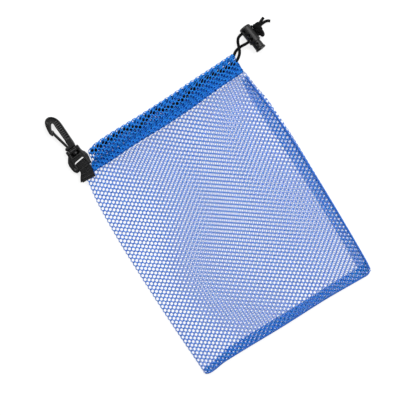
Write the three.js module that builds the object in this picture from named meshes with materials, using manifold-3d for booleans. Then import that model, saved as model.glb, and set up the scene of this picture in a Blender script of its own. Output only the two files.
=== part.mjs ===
// Mesh dive gear bag, lying flat: a knitted drawstring pouch with a turned-over hem, seam allowances
// inside, a drawcord with a barrel cord lock and a knot, and a webbing tab with a swivel snap hook.
// Millimetres, +Z up from the surface that it lies on. Plan coordinates: +X runs across the bag towards
// the cord lock, +Y runs from the bottom seam towards the mouth. The last group moves the plan's origin
// to the middle of the part's base.
import * as THREE from 'three';
import { mergeVertices } from 'three/addons/utils/BufferGeometryUtils.js';
import Module from 'manifold-3d';

const wasm = await Module();
wasm.setup();

// Driving sizes
const gap = 0.3;
const planCentre = { x: -0.11, y: 27.12 };

const net = {
  wall: 0.8, columns: 22, rows: 24, low: -122, high: 108, leftGap: 1.2, seamGap: 2.6, seamReach: 4,
  fill: 8.4, fillStart: 8, fillReach: 62, hemReach: 28, roundness: 1.6, thinnest: 0.35,
};
const casing = {
  wall: 0.7, depth: 5.2, endHalfGap: 1.2, stations: 15, turnSteps: 10, flatten: { from: -70, to: -42 },
  leftEnd: -77.5, turnReach: 5, rightEnd: 93.4,
};
const cord = { radius: 1.5, sides: 8, turnSlack: 0.06, turnY: { front: 125.2, back: 125.9 } };
const seam = {
  thickness: 1.2, fromEdge: 2.8, left: -90, right: 91.4, low: -117.4, top: 110, sideRows: 26, bottomRows: 22,
};
const webbing = { thickness: 1.1, tabLift: 1.4, tabGap: 1.4 };
const underTab = { x: { from: 78, to: 84 }, y: { from: 88, to: 101 } };
const bar = { radius: 2.1, halfLength: 8.5, lobe: 3.1, lobeFrom: 7.0, lobeTo: 10.0 };
const axisHeight = webbing.thickness + gap + bar.radius;
const fitting = { x: -90.5, y: 118.4, turn: THREE.MathUtils.degToRad(5) };
const lock = {
  radius: 6.1, bore: 5.0, length: 19, endWall: 1.2, holeRadius: 2.0, holes: [4.35, 14.75], sides: 24,
};
const lockHead = { x: 118.2, y: 154.2 };
const lockFoot = { x: 121.7, y: 126.2 };

// Tables. Every row is a place along the bag, in plan millimetres.
const sides = [
  { y: -123, left: -94.2, right: 100.6 },
  { y: -110, left: -94.7, right: 101.4 },
  { y: -60, left: -96.8, right: 103.0 },
  { y: 0, left: -99.0, right: 103.5 },
  { y: 40, left: -99.4, right: 102.5 },
  { y: 80, left: -96.8, right: 100.0 },
  { y: 100, left: -95.4, right: 96.5 },
  { y: 116, left: -94.2, right: 94.4 },
];
const bottomEdge = [
  { x: -97, y: -114.5 },
  { x: -94.5, y: -120.5 },
  { x: -88, y: -123.5 },
  { x: -70, y: -121.5 },
  { x: 0, y: -121 },
  { x: 50, y: -120 },
  { x: 90, y: -121 },
  { x: 98, y: -120 },
  { x: 101.5, y: -116 },
];
const hemStitch = [
  { x: -96, y: 107.9 },
  { x: -58, y: 108.0 },
  { x: -32, y: 109.4 },
  { x: 0, y: 109.7 },
  { x: 33, y: 111.2 },
  { x: 67, y: 114.2 },
  { x: 96, y: 115.8 },
];
const hemTop = [
  { x: -84, y: 128.4 },
  { x: -77, y: 130.4 },
  { x: -69, y: 131.7 },
  { x: -26, y: 132.0 },
  { x: 10, y: 133.0 },
  { x: 33, y: 134.3 },
  { x: 67, y: 135.6 },
  { x: 94, y: 137.0 },
];
const hemLeftEnd = [
  { y: 108, x: -83.6 },
  { y: 111.5, x: -83.0 },
  { y: 113.6, x: -78.9 },
  { y: 126, x: -78.7 },
  { y: 130, x: -76.4 },
  { y: 132, x: -73.4 },
];
const mouthGap = [
  { x: -84, gap: 2.4 },
  { x: -71, gap: 2.4 },
  { x: -56, gap: 3.6 },
  { x: -30, gap: 6.0 },
  { x: 45, gap: 6.2 },
  { x: 75, gap: 4.2 },
  { x: 94, gap: 2.6 },
];
const creases = [
  { across: true, at: -4, depth: 1.4, width: 11 },
  { across: false, at: 10, depth: 1.2, width: 12 },
  { across: false, at: -50, depth: 1.1, width: 12 },
];
// Half of the hem's thickness across its height: flat at the stitches, a channel for the cord above
const hemProfile = [
  { share: 0.0, half: 1.1 },
  { share: 0.3, half: 1.3 },
  { share: 0.44, half: 2.6 },
  { share: 0.7, half: 2.6 },
  { share: 0.95, half: 2.5 },
  { share: 1.0, half: 1.5 },
];
const sideSeamEdge = [
  { y: -100, inner: 92 },
  { y: -50, inner: 92 },
  { y: 0, inner: 91 },
  { y: 40, inner: 89.5 },
  { y: 80, inner: 87.5 },
  { y: 111, inner: 88.5 },
];
const bottomSeamEdge = [
  { x: -90, inner: -118 },
  { x: -70, inner: -115 },
  { x: -58, inner: -112 },
  { x: 0, inner: -112 },
  { x: 50, inner: -111 },
  { x: 91, inner: -110.5 },
];

// The drawcord's places as they show through the hem, seen from above
const frontRun = [
  { x: 92.9, y: 128.4 }, { x: 86, y: 127.9 }, { x: 78, y: 127.5 }, { x: 69, y: 128.6 },
  { x: 60, y: 129.2 }, { x: 50, y: 127.8 }, { x: 40, y: 126.2 }, { x: 30, y: 124.1 },
  { x: 20, y: 122.9 }, { x: 12, y: 123.5 }, { x: 4, y: 125.6 }, { x: -5, y: 127.7 },
  { x: -13.5, y: 125.3 }, { x: -20.5, y: 122.2 }, { x: -28, y: 123.8 },
  { x: -36, y: 127.2 }, { x: -51.7, y: 126.9 }, { x: -64.5, y: 126.3 },
];
const backRun = [
  { x: -65, y: 127.3 }, { x: -55, y: 128.2 }, { x: -36, y: 128.4 }, { x: -20, y: 128.4 }, { x: -3, y: 129.6 },
  { x: 10, y: 130.0 }, { x: 29, y: 130.8 }, { x: 47, y: 131.2 }, { x: 62, y: 132.0 }, { x: 82, y: 133.4 },
  { x: 92.9, y: 134.0 },
];
const strandA = [
  { x: 93.8, y: 134.1, z: 2.6 }, { x: 94.6, y: 134.5, z: 2.5 }, { x: 96.4, y: 136.1, z: 2.1 },
  { x: 98.6, y: 137.6, z: 1.7 }, { x: 101.6, y: 138.7, z: 1.55 }, { x: 104.6, y: 139.1, z: 2.1 },
  { x: 107.2, y: 139.1, z: 3.5 }, { x: 109.8, y: 138.8, z: 5.1 }, { x: 112.2, y: 138.7, z: 5.9 },
  { x: 114.0, y: 138.8, z: 6.1 }, { x: 120.0, y: 139.6, z: 6.1 }, { x: 126.1, y: 140.3, z: 6.1 },
  { x: 127.2, y: 140.5, z: 6.1 },
];
const strandB = [
  { x: 93.7, y: 128.4, z: 10.4 }, { x: 94.6, y: 128.7, z: 10.3 }, { x: 96.6, y: 129.9, z: 9.4 },
  { x: 98.6, y: 131.4, z: 8.0 }, { x: 100.6, y: 133.4, z: 6.5 }, { x: 102.2, y: 136.0, z: 5.4 },
  { x: 103.4, y: 139.2, z: 5.2 }, { x: 104.5, y: 142.4, z: 5.4 }, { x: 105.9, y: 145.4, z: 5.7 },
  { x: 108.0, y: 147.8, z: 6.0 }, { x: 110.6, y: 148.8, z: 6.1 }, { x: 112.7, y: 149.1, z: 6.1 },
  { x: 118.7, y: 149.9, z: 6.1 }, { x: 124.8, y: 150.6, z: 6.1 }, { x: 125.9, y: 150.8, z: 6.1 },
];
const tailA = [
  { x: 133.0, y: 149.2, z: 4.4 }, { x: 135.0, y: 150.1, z: 3.4 }, { x: 137.6, y: 151.3, z: 2.2 },
  { x: 140.1, y: 152.5, z: 1.7 },
];
const tailB = [
  { x: 133.2, y: 147.4, z: 3.6 }, { x: 136.0, y: 147.9, z: 2.6 }, { x: 139.2, y: 148.2, z: 1.8 },
  { x: 142.2, y: 147.6, z: 1.6 }, { x: 144.3, y: 146.0, z: 1.6 },
];
// The knot's three turns of cord, each an oval round its own middle, tilted about x and y
const knotTurns = [
  { x: 130.6, y: 148.2, z: 5.7, across: 3.0, high: 2.2, tiltX: 0.5, tiltY: 0.3 },
  { x: 130.0, y: 145.2, z: 5.4, across: 2.4, high: 3.2, tiltX: -0.4, tiltY: 0.35 },
  { x: 130.4, y: 140.4, z: 4.8, across: 1.2, high: 2.8, tiltX: 0.2, tiltY: 0.6 },
];
const knotCore = { x: 130.3, y: 146.3, z: 5.4, wide: 3.4, long: 4.0, high: 3.4 };

// The webbing tab in the fitting's frame: the top layer from its cut end, the bend round the bar, and
// the bottom layer. Each row holds the two edges of the band and the height of its inner face.
const topLayer = [
  { leftX: -12.6, leftY: -12.6, rightX: 3.1, rightY: -15.9, z: 5.05 },
  { leftX: -10.0, leftY: -8.5, rightX: 4.6, rightY: -10.2, z: 5.1 },
  { leftX: -6.9, leftY: -4.6, rightX: 6.0, rightY: -5.2, z: 5.4 },
];
const bottomLayer = [
  { leftX: -7.0, leftY: -5.0, rightX: 6.0, rightY: -5.4 },
  { leftX: -11.2, leftY: -13.6, rightX: 3.4, rightY: -15.4 },
];
const bend = { left: -6.3, right: 6.3, steps: 10 };

// Fitting outlines, in the fitting's own frame: x across, y along the swivel's axis from the eye's bar
const eyeHalf = [
  [10.0, 0.0], [10.6, 3.0], [10.6, 7.0], [9.4, 10.2], [7.6, 12.6], [7.3, 16.4],
];
const hookOuter = [
  [5.2, 20.9], [5.5, 22.6], [5.8, 25.0], [6.1, 34.0], [6.5, 45.5], [6.3, 50.6], [5.3, 54.2],
  [3.4, 57.0], [1.0, 58.9], [-1.3, 59.6], [-3.6, 59.3], [-5.6, 58.0], [-7.3, 55.4], [-8.4, 51.8],
  [-9.1, 48.0], [-9.3, 45.4], [-9.1, 43.4], [-8.4, 42.0], [-7.3, 41.8],
];
const hookInner = [
  [-5.4, 46.9], [-4.4, 49.0], [-3.2, 51.0], [-2.2, 52.2], [-0.9, 52.2], [-0.3, 50.8], [-0.5, 47.0],
  [-0.7, 38.0], [-0.7, 29.6], [-0.9, 28.2],
];
const hookFoot = [[-4.6, 26.6], [-5.0, 25.2], [-5.2, 22.6], [-5.2, 20.9]];
const gateCorridor = [[-5.4, 26.3], [-4.5, 25.2], [-0.9, 25.2], [-0.7, 29.6], [-4.6, 31.0]];
const gatePivot = { x: -2.7, y: 25.2, radius: 1.3 };
const gateOutline = [
  [-4.5, 43.6], [-4.2, 44.9], [-4.4, 46.0], [-5.05, 46.75], [-6.85, 41.95], [-6.9, 41.0],
];
const eyeSlot = [[-6.9, -1.0], [6.9, -1.0], [6.9, 4.6], [5.4, 6.9], [-5.4, 6.9], [-6.9, 4.6]];
const hook = {
  thickness: 7.0, bevel: 0.8, stem: 2.2, stemFrom: 13.4, stemTo: 21.9, knob: 3.3, knobFoot: 12.9,
  knobTop: 15.3, gateThickness: 5.2, gateBevel: 0.5,
};
const eye = {
  thickness: 5.2, bevel: 0.7, window: { half: 4.2, from: 12.6, to: 15.6 },
  collar: { half: 7.3, from: 15.6, to: 20.6, corner: 2.2 },
};
// How far a cut runs past the faces that it goes through
const past = 1;

// The cord lock in its own frame: radius and distance from the barrel's closed end
const barrelProfile = [
  [0, -0.4], [3.4, -0.2], [5.3, 0.3], [lock.radius, 1.4], [lock.radius, 17.6], [5.9, lock.length],
  [lock.bore + gap, lock.length], [lock.bore + gap, lock.endWall], [0, lock.endWall],
];
const plungerProfile = [
  [0, 5.6], [lock.bore, 5.6], [lock.bore, 26.0], [5.6, 26.4], [5.6, 28.0], [5.1, 28.4], [0, 28.4],
];
const plungerSlot = { from: 4, to: 22.6, halfWidth: lock.holeRadius };

// Smooth value of a column at a place along a table, held flat past its ends
function along(table, key, column, at) {
  const last = table.length - 1;
  if (at <= table[0][key]) return table[0][column];
  if (at >= table[last][key]) return table[last][column];
  let i = 0;
  while (table[i + 1][key] < at) i += 1;
  const here = table[i];
  const next = table[i + 1];
  const before = table[Math.max(i - 1, 0)];
  const after = table[Math.min(i + 2, last)];
  const span = next[key] - here[key];
  const t = (at - here[key]) / span;
  const leave = span * (next[column] - before[column]) / (next[key] - before[key]);
  const arrive = span * (after[column] - here[column]) / (after[key] - here[key]);
  const t2 = t * t;
  const t3 = t2 * t;
  return (2 * t3 - 3 * t2 + 1) * here[column] + (t3 - 2 * t2 + t) * leave
    + (3 * t2 - 2 * t3) * next[column] + (t3 - t2) * arrive;
}

const { lerp, smoothstep } = THREE.MathUtils;
const bump = (distance, width) => Math.exp(-((distance / width) ** 2));

// The net pouch: where its back and its front lie at a place in plan
function clearance(x, y) {
  const left = along(sides, 'y', 'left', y);
  const right = along(sides, 'y', 'right', y);
  const bottom = along(bottomEdge, 'x', 'y', x);
  const edge = lerp(net.leftGap, net.seamGap, smoothstep(x - left, 0, net.seamReach));
  const fullness = smoothstep(x - left, 0, net.fillReach)
    * smoothstep(right - x, net.fillStart, net.fillReach)
    * smoothstep(y - bottom, net.fillStart, net.fillReach);
  let open = edge + net.fill * fullness;
  for (const crease of creases) {
    const distance = crease.across ? x - crease.at : y - crease.at;
    open -= crease.depth * fullness * bump(distance, crease.width);
  }
  return open;
}

function flattening(x) {
  return smoothstep(x, casing.flatten.from, casing.flatten.to);
}

function netLevels(x, y) {
  const stitch = along(hemStitch, 'x', 'y', x);
  const nearHem = smoothstep(y, stitch - net.hemReach, stitch);
  const pressed = smoothstep(-x, underTab.x.from, underTab.x.to)
    * smoothstep(y, underTab.y.from, underTab.y.to);
  const hemLift = lerp(2 * hemProfile[0].half - net.wall, casing.depth - net.wall, flattening(x));
  let back = lerp(0, hemLift, nearHem);
  let open = lerp(clearance(x, y), along(mouthGap, 'x', 'gap', x), nearHem);
  back = lerp(back, webbing.tabLift, pressed);
  open = lerp(open, Math.min(open, webbing.tabGap), pressed);
  return { back, open };
}

// Closed body through rings of equal length. A loop joins its last ring to its first; a zipped body
// closes both end rings by joining their front halves to their back halves.
function loft(rings, closing) {
  const count = rings[0].length;
  const positions = rings.flat().flatMap((p) => [p.x, p.y, p.z]);
  const index = [];
  const quad = (a, b, c, d) => index.push(a, b, c, a, c, d);
  const strips = closing === 'loop' ? rings.length : rings.length - 1;
  for (let r = 0; r < strips; r += 1) {
    const low = r * count;
    const high = ((r + 1) % rings.length) * count;
    for (let k = 0; k < count; k += 1) {
      const next = (k + 1) % count;
      quad(low + k, low + next, high + next, high + k);
    }
  }
  if (closing === 'zip') {
    const top = (rings.length - 1) * count;
    for (let k = 0; k < count / 2 - 1; k += 1) {
      const mate = count - 1 - k;
      quad(mate, mate - 1, k + 1, k);
      quad(top + k, top + k + 1, top + mate - 1, top + mate);
    }
  }
  const geometry = new THREE.BufferGeometry();
  geometry.setAttribute('position', new THREE.Float32BufferAttribute(positions, 3));
  geometry.setIndex(index);
  return facingOut(geometry);
}

// Turns every face round when the enclosed volume comes out negative
function facingOut(geometry) {
  const p = geometry.getAttribute('position');
  const index = geometry.getIndex().array;
  const corner = (i) => new THREE.Vector3().fromBufferAttribute(p, index[i]);
  let volume = 0;
  for (let i = 0; i < index.length; i += 3) {
    volume += corner(i).dot(corner(i + 1).cross(corner(i + 2)));
  }
  if (volume < 0) {
    for (let i = 0; i < index.length; i += 3) {
      [index[i + 1], index[i + 2]] = [index[i + 2], index[i + 1]];
    }
  }
  return geometry;
}

function solidOf(geometry) {
  const bare = geometry.clone();
  bare.deleteAttribute('normal');
  bare.deleteAttribute('uv');
  const merged = mergeVertices(bare, 1e-4);
  return new wasm.Manifold(new wasm.Mesh({
    numProp: 3,
    vertProperties: new Float32Array(merged.getAttribute('position').array),
    triVerts: new Uint32Array(merged.getIndex().array),
  }));
}

function geometryOf(solid) {
  const mesh = solid.getMesh();
  const geometry = new THREE.BufferGeometry();
  geometry.setAttribute('position', new THREE.Float32BufferAttribute(mesh.vertProperties, 3));
  geometry.setIndex(new THREE.Uint32BufferAttribute(mesh.triVerts, 1));
  return geometry;
}

const bag = new THREE.Group();
const finishes = {
  netting: new THREE.MeshStandardMaterial({ color: 0x3f78d6, roughness: 0.75, metalness: 0 }),
  hemCloth: new THREE.MeshStandardMaterial({ color: 0x205cb8, roughness: 0.8, metalness: 0 }),
  webbingWeave: new THREE.MeshStandardMaterial({ color: 0x17181a, roughness: 0.8, metalness: 0 }),
  blackPlastic: new THREE.MeshStandardMaterial({ color: 0x2a2a2c, roughness: 0.4, metalness: 0 }),
  cordBraid: new THREE.MeshStandardMaterial({ color: 0x141416, roughness: 0.7, metalness: 0 }),
};

function addPiece(name, geometry, finish, parent = bag) {
  const mesh = new THREE.Mesh(geometry, finish);
  mesh.name = name;
  parent.add(mesh);
  return mesh;
}

// Columns crowd towards both edges, so that the fold and the seam come out round
function spread(step, count) {
  const even = step / count;
  return lerp(even, (1 - Math.cos(Math.PI * even)) / 2, 0.9);
}

// One ring round the pouch at a height: its front from left to right, then its back from right to left
function netRing(share, inset) {
  const front = [];
  const back = [];
  const nominal = lerp(net.low, net.high, share);
  const left = along(sides, 'y', 'left', nominal) + inset;
  const right = along(sides, 'y', 'right', nominal) - inset;
  for (let i = 0; i <= net.columns; i += 1) {
    const x = lerp(left, right, spread(i, net.columns));
    const bottom = along(bottomEdge, 'x', 'y', x) + inset;
    const y = lerp(bottom, along(hemStitch, 'x', 'y', x) - gap, share);
    const { back: level, open } = netLevels(x, y);
    const middle = level + net.wall + open / 2;
    const edge = Math.min(x - left, right - x, y - bottom);
    const turn = 1 - Math.min(edge / net.roundness, 1);
    const swell = Math.max(Math.sqrt(1 - turn * turn), net.thinnest);
    const half = (open / 2 + (inset ? 0 : net.wall)) * swell;
    front.push(new THREE.Vector3(x, y, middle + half));
    back.unshift(new THREE.Vector3(x, y, middle - half));
  }
  return [...front, ...back];
}

function netBody() {
  const outside = [];
  const inside = [];
  for (let j = 0; j <= net.rows; j += 1) {
    const share = spread(j, net.rows);
    outside.push(netRing(share, 0));
    inside.unshift(netRing(share, net.wall + gap));
  }
  return loft([...outside, ...inside], 'zip');
}

// The hem's channel runs along the front, turns round the left end and comes back along the back.
// A station is a share of the way along the front or the back, or an angle round the left end.
function hemStations() {
  const list = [];
  for (let i = casing.stations; i > 0; i -= 1) list.push({ way: i / casing.stations, angle: 0 });
  for (let i = 0; i <= casing.turnSteps; i += 1) list.push({ way: 0, angle: Math.PI * i / casing.turnSteps });
  for (let i = 1; i <= casing.stations; i += 1) list.push({ way: i / casing.stations, angle: Math.PI });
  return list;
}

function hemPoint(station, share, half, outward, inset) {
  const turned = casing.leftEnd - casing.turnReach * Math.sin(station.angle);
  const nominal = lerp(turned, casing.rightEnd, station.way);
  const low = along(hemStitch, 'x', 'y', nominal) + inset;
  const high = along(hemTop, 'x', 'y', nominal) - inset;
  const y = lerp(low, high, share);
  const depthHere = 2 * half;
  const end = along(hemLeftEnd, 'y', 'x', y) + casing.endHalfGap + depthHere;
  const x = lerp(end, casing.rightEnd, station.way);
  const open = along(mouthGap, 'x', 'gap', x);
  const rise = lerp(depthHere, casing.depth, flattening(x));
  const middle = open / 2 + rise;
  const reach = outward
    ? open / 2 + depthHere - (inset ? casing.wall : 0)
    : open / 2 + (inset ? casing.wall : 0);
  return new THREE.Vector3(x - reach * Math.sin(station.angle), y, middle + reach * Math.cos(station.angle));
}

function cordCasing() {
  const ring = (station, inset) => [
    ...hemProfile.map((row) => hemPoint(station, row.share, row.half, false, inset)),
    ...hemProfile.map((row) => hemPoint(station, row.share, row.half, true, inset)).reverse(),
  ];
  const stations = hemStations();
  const outside = stations.map((station) => ring(station, 0));
  const inside = stations.map((station) => ring(station, casing.wall)).reverse();
  return loft([...outside, ...inside], 'loop');
}

// A flat strip inside the pouch, from the seam inwards: the turned-in allowance of a seam
function strip(rows) {
  const rings = rows.map(({ a, b }) => {
    const levelAt = (p) => netLevels(p.x, p.y).back + net.wall + (net.seamGap - seam.thickness) / 2;
    const low = [a, b].map((p) => new THREE.Vector3(p.x, p.y, levelAt(p)));
    const high = low.map((p) => p.clone().setZ(p.z + seam.thickness));
    return [high[0], high[1], low[1], low[0]];
  });
  return loft(rings, 'zip');
}

function sideSeam() {
  const rows = [];
  for (let i = 0; i <= seam.sideRows; i += 1) {
    const y = lerp(seam.low, seam.top, i / seam.sideRows);
    const inner = along(sideSeamEdge, 'y', 'inner', y);
    const outer = along(sides, 'y', 'right', y) - seam.fromEdge;
    rows.push({ a: { x: inner, y }, b: { x: outer, y } });
  }
  return strip(rows);
}

function bottomSeam() {
  const rows = [];
  for (let i = 0; i <= seam.bottomRows; i += 1) {
    const x = lerp(seam.left, seam.right, i / seam.bottomRows);
    const inner = along(bottomSeamEdge, 'x', 'inner', x);
    const outer = along(bottomEdge, 'x', 'y', x) + seam.fromEdge;
    rows.push({ a: { x, y: inner }, b: { x, y: outer } });
  }
  return strip(rows);
}

// A round cord along a smooth curve through its points
function cordAlong(points, steps) {
  const curve = new THREE.CatmullRomCurve3(points.map((p) => new THREE.Vector3(p.x, p.y, p.z)));
  const section = new THREE.Shape();
  for (let i = 0; i < cord.sides; i += 1) {
    const angle = 2 * Math.PI * i / cord.sides;
    const at = [cord.radius * Math.cos(angle), cord.radius * Math.sin(angle)];
    if (i === 0) section.moveTo(...at);
    else section.lineTo(...at);
  }
  return new THREE.ExtrudeGeometry(section, { steps, extrudePath: curve, bevelEnabled: false });
}

// The cord inside the hem. Its steps follow the path's own points, which crowd together round the turn
function drawcord() {
  const level = casing.depth / 2;
  const open = (x) => along(mouthGap, 'x', 'gap', x);
  const front = frontRun.map((p) => new THREE.Vector3(p.x, p.y, casing.depth + open(p.x) + level));
  const back = backRun.map((p) => new THREE.Vector3(p.x, p.y, level));
  const radius = casing.endHalfGap + level - cord.turnSlack;
  const centre = hemLeftEnd[3].x + casing.endHalfGap + casing.depth;
  const turn = [0, 30, 60, 90, 120, 150, 180].map((degrees) => {
    const angle = THREE.MathUtils.degToRad(degrees);
    const y = lerp(cord.turnY.front, cord.turnY.back, degrees / 180);
    const middle = casing.depth + casing.endHalfGap;
    return new THREE.Vector3(centre - radius * Math.sin(angle), y, middle + radius * Math.cos(angle));
  });
  const points = [...front, ...turn, ...back];
  const curve = new THREE.CatmullRomCurve3(points);
  const steps = 2 * (points.length - 1);
  const up = new THREE.Vector3(0, 1, 0);
  const rings = [];
  for (let i = 0; i <= steps; i += 1) {
    const tangent = curve.getTangent(i / steps);
    const normal = up.clone().addScaledVector(tangent, -up.dot(tangent)).normalize();
    rings.push(cordRing(curve.getPoint(i / steps), normal, tangent.clone().cross(normal)));
  }
  return loft(rings, 'zip');
}

function webbingTab() {
  const thick = webbing.thickness;
  const rings = [];
  const ring = (left, right, inner, outer) => [
    new THREE.Vector3(left.x, left.y + inner.y, inner.z),
    new THREE.Vector3(right.x, right.y + inner.y, inner.z),
    new THREE.Vector3(right.x, right.y + outer.y, outer.z),
    new THREE.Vector3(left.x, left.y + outer.y, outer.z),
  ];
  const flat = (row, z, side) => ring({ x: row.leftX, y: row.leftY }, { x: row.rightX, y: row.rightY },
    { y: 0, z }, { y: 0, z: z + side * thick });
  for (const row of topLayer) rings.push(flat(row, row.z, 1));
  const inside = bar.radius + gap;
  for (let i = 0; i <= bend.steps; i += 1) {
    const angle = Math.PI / 2 - Math.PI * i / bend.steps;
    const at = (radius) => ({ y: radius * Math.cos(angle), z: axisHeight + radius * Math.sin(angle) });
    rings.push(ring({ x: bend.left, y: 0 }, { x: bend.right, y: 0 }, at(inside), at(inside + thick)));
  }
  for (const row of bottomLayer) rings.push(flat(row, thick, -1));
  return loft(rings, 'zip');
}

function outlineSolid(points, thickness, bevel) {
  const shape = new THREE.Shape(points.map(([x, y]) => new THREE.Vector2(x, y)));
  const geometry = new THREE.ExtrudeGeometry(shape, {
    depth: thickness - 2 * bevel, steps: 1, bevelEnabled: bevel > 0, bevelSegments: 1,
    bevelThickness: bevel, bevelSize: 0.6 * bevel, bevelOffset: -0.6 * bevel,
  });
  geometry.translate(0, 0, bevel - thickness / 2);
  return solidOf(geometry);
}

// A cylinder along x, y or z between two places on that axis
function rod(axis, radius, from, to, at = {}, sidesRound = 20) {
  const geometry = new THREE.CylinderGeometry(radius, radius, to - from, sidesRound);
  if (axis === 'x') geometry.rotateZ(Math.PI / 2);
  if (axis === 'z') geometry.rotateX(Math.PI / 2);
  const middle = (from + to) / 2;
  const place = { x: 0, y: 0, z: 0, ...at, [axis]: middle };
  geometry.translate(place.x, place.y, place.z);
  return solidOf(geometry);
}

function block(x, y, z) {
  const geometry = new THREE.BoxGeometry(x[1] - x[0], y[1] - y[0], z[1] - z[0]);
  geometry.translate((x[0] + x[1]) / 2, (y[0] + y[1]) / 2, (z[0] + z[1]) / 2);
  return solidOf(geometry);
}

// The thick collar that the hook turns in, a band with its four corners cut off
function eyeCollar() {
  const { half, from, to, corner } = eye.collar;
  const tall = hook.thickness / 2;
  const quarter = [[half, tall - corner], [half - corner, tall]];
  const mirrored = quarter.map(([x, y]) => [-x, y]).reverse();
  const lower = [...quarter, ...mirrored].map(([x, y]) => [-x, -y]);
  const outline = [...quarter, ...mirrored, ...lower].map(([x, y]) => new THREE.Vector2(x, y));
  const band = new THREE.ExtrudeGeometry(new THREE.Shape(outline), { depth: to - from, bevelEnabled: false });
  band.rotateX(-Math.PI / 2);
  band.translate(0, from, 0);
  return solidOf(band);
}

function swivelEye() {
  const half = eye.thickness / 2;
  const outline = [...eyeHalf, ...eyeHalf.map(([x, y]) => [-x, y]).reverse()];
  const { window } = eye;
  return geometryOf(outlineSolid(outline, eye.thickness, eye.bevel)
    .subtract(outlineSolid(eyeSlot, eye.thickness + 2 * past, 0))
    .add(rod('x', bar.radius, -bar.halfLength, bar.halfLength))
    .add(rod('x', bar.lobe, bar.lobeFrom, bar.lobeTo))
    .add(rod('x', bar.lobe, -bar.lobeTo, -bar.lobeFrom))
    .add(eyeCollar())
    .subtract(block([-window.half, window.half], [window.from, window.to], [-half - past, half + past]))
    .subtract(rod('y', hook.stem + gap, window.to - past, eye.collar.to + past)));
}

function snapHook() {
  const outline = [...hookOuter, ...hookInner, ...hookFoot];
  const through = hook.thickness / 2 + past;
  return geometryOf(outlineSolid(outline, hook.thickness, hook.bevel)
    .subtract(outlineSolid(gateCorridor, 2 * through, 0))
    .subtract(rod('z', gatePivot.radius + gap, -through, through, gatePivot))
    .add(rod('y', hook.stem, hook.stemFrom, hook.stemTo))
    .add(rod('y', hook.knob, hook.knobFoot, hook.knobTop)));
}

function hookGate() {
  const { x, y, radius } = gatePivot;
  const root = [];
  const steps = 6;
  for (let i = 0; i <= steps; i += 1) {
    const angle = Math.PI + Math.PI * i / steps;
    root.push([x + radius * Math.cos(angle), y + radius * Math.sin(angle)]);
  }
  return geometryOf(outlineSolid([...root, ...gateOutline], hook.gateThickness, hook.gateBevel));
}

// How far the cord lock's axis, from its closed end to the plunger's cap, is turned in plan
const lockTurn = Math.atan2(lockFoot.y - lockHead.y, lockFoot.x - lockHead.x) + Math.PI / 2;

function lathe(profile, sidesRound) {
  const points = profile.map(([radius, height]) => new THREE.Vector2(radius, -height)).reverse();
  return solidOf(new THREE.LatheGeometry(points, sidesRound));
}

function lockBarrel() {
  const through = lock.radius + past;
  let solid = lathe(barrelProfile, lock.sides);
  for (const at of lock.holes) {
    solid = solid.subtract(rod('x', lock.holeRadius, -through, through, { y: -at }, lock.sides / 2));
  }
  return geometryOf(solid);
}

function lockPlunger() {
  const through = lock.bore + past;
  const { from, to, halfWidth } = plungerSlot;
  const slot = block([-through, through], [-to, -from], [-halfWidth, halfWidth]);
  return geometryOf(lathe(plungerProfile, lock.sides).subtract(slot));
}

// The cord's section as a ring round a place on its path
function cordRing(at, normal, binormal) {
  const ring = [];
  for (let k = 0; k < cord.sides; k += 1) {
    const angle = 2 * Math.PI * k / cord.sides;
    const out = normal.clone().multiplyScalar(Math.cos(angle)).addScaledVector(binormal, Math.sin(angle));
    ring.push(at.clone().addScaledVector(out, cord.radius));
  }
  return ring;
}

function cordLoop(path, steps) {
  const { normals, binormals } = path.computeFrenetFrames(steps, true);
  const ringAt = (normal, i) => cordRing(path.getPointAt(i / steps), normal, binormals[i]);
  return loft(normals.slice(0, steps).map(ringAt), 'loop');
}

// The stopper knot: turns of cord drawn tight round its middle, with the two cut tails
function cordKnot() {
  const points = 12;
  const core = new THREE.SphereGeometry(1, 10, 6);
  core.scale(knotCore.wide, knotCore.long, knotCore.high);
  core.translate(knotCore.x, knotCore.y, knotCore.z);
  let solid = solidOf(core);
  for (const turn of knotTurns) {
    const tilt = new THREE.Euler(turn.tiltX, turn.tiltY, 0);
    const centre = new THREE.Vector3(turn.x, turn.y, turn.z);
    const ring = [];
    for (let i = 0; i < points; i += 1) {
      const angle = 2 * Math.PI * i / points;
      const at = new THREE.Vector3(turn.across * Math.cos(angle), turn.high * Math.sin(angle), 0);
      ring.push(at.applyEuler(tilt).add(centre));
    }
    solid = solid.add(solidOf(cordLoop(new THREE.CatmullRomCurve3(ring, true), 14)));
  }
  return geometryOf(solid
    .add(solidOf(cordAlong(tailA, 4)))
    .add(solidOf(cordAlong(tailB, 6))));
}

addPiece('net_body', netBody(), finishes.netting);
addPiece('cord_casing', cordCasing(), finishes.hemCloth);
addPiece('side_seam', sideSeam(), finishes.hemCloth);
addPiece('bottom_seam', bottomSeam(), finishes.hemCloth);
addPiece('drawcord', drawcord(), finishes.cordBraid);
addPiece('cord_strand_a', cordAlong(strandA, 15), finishes.cordBraid);
addPiece('cord_strand_b', cordAlong(strandB, 18), finishes.cordBraid);
addPiece('cord_knot', cordKnot(), finishes.cordBraid);

const tabGroup = new THREE.Group();
tabGroup.position.set(fitting.x, fitting.y, 0);
tabGroup.rotation.z = fitting.turn;
bag.add(tabGroup);
addPiece('webbing_tab', webbingTab(), finishes.webbingWeave, tabGroup);

const hookGroup = new THREE.Group();
hookGroup.position.z = axisHeight;
tabGroup.add(hookGroup);
addPiece('swivel_eye', swivelEye(), finishes.blackPlastic, hookGroup);
addPiece('snap_hook', snapHook(), finishes.blackPlastic, hookGroup);
addPiece('hook_gate', hookGate(), finishes.blackPlastic, hookGroup);

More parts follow.
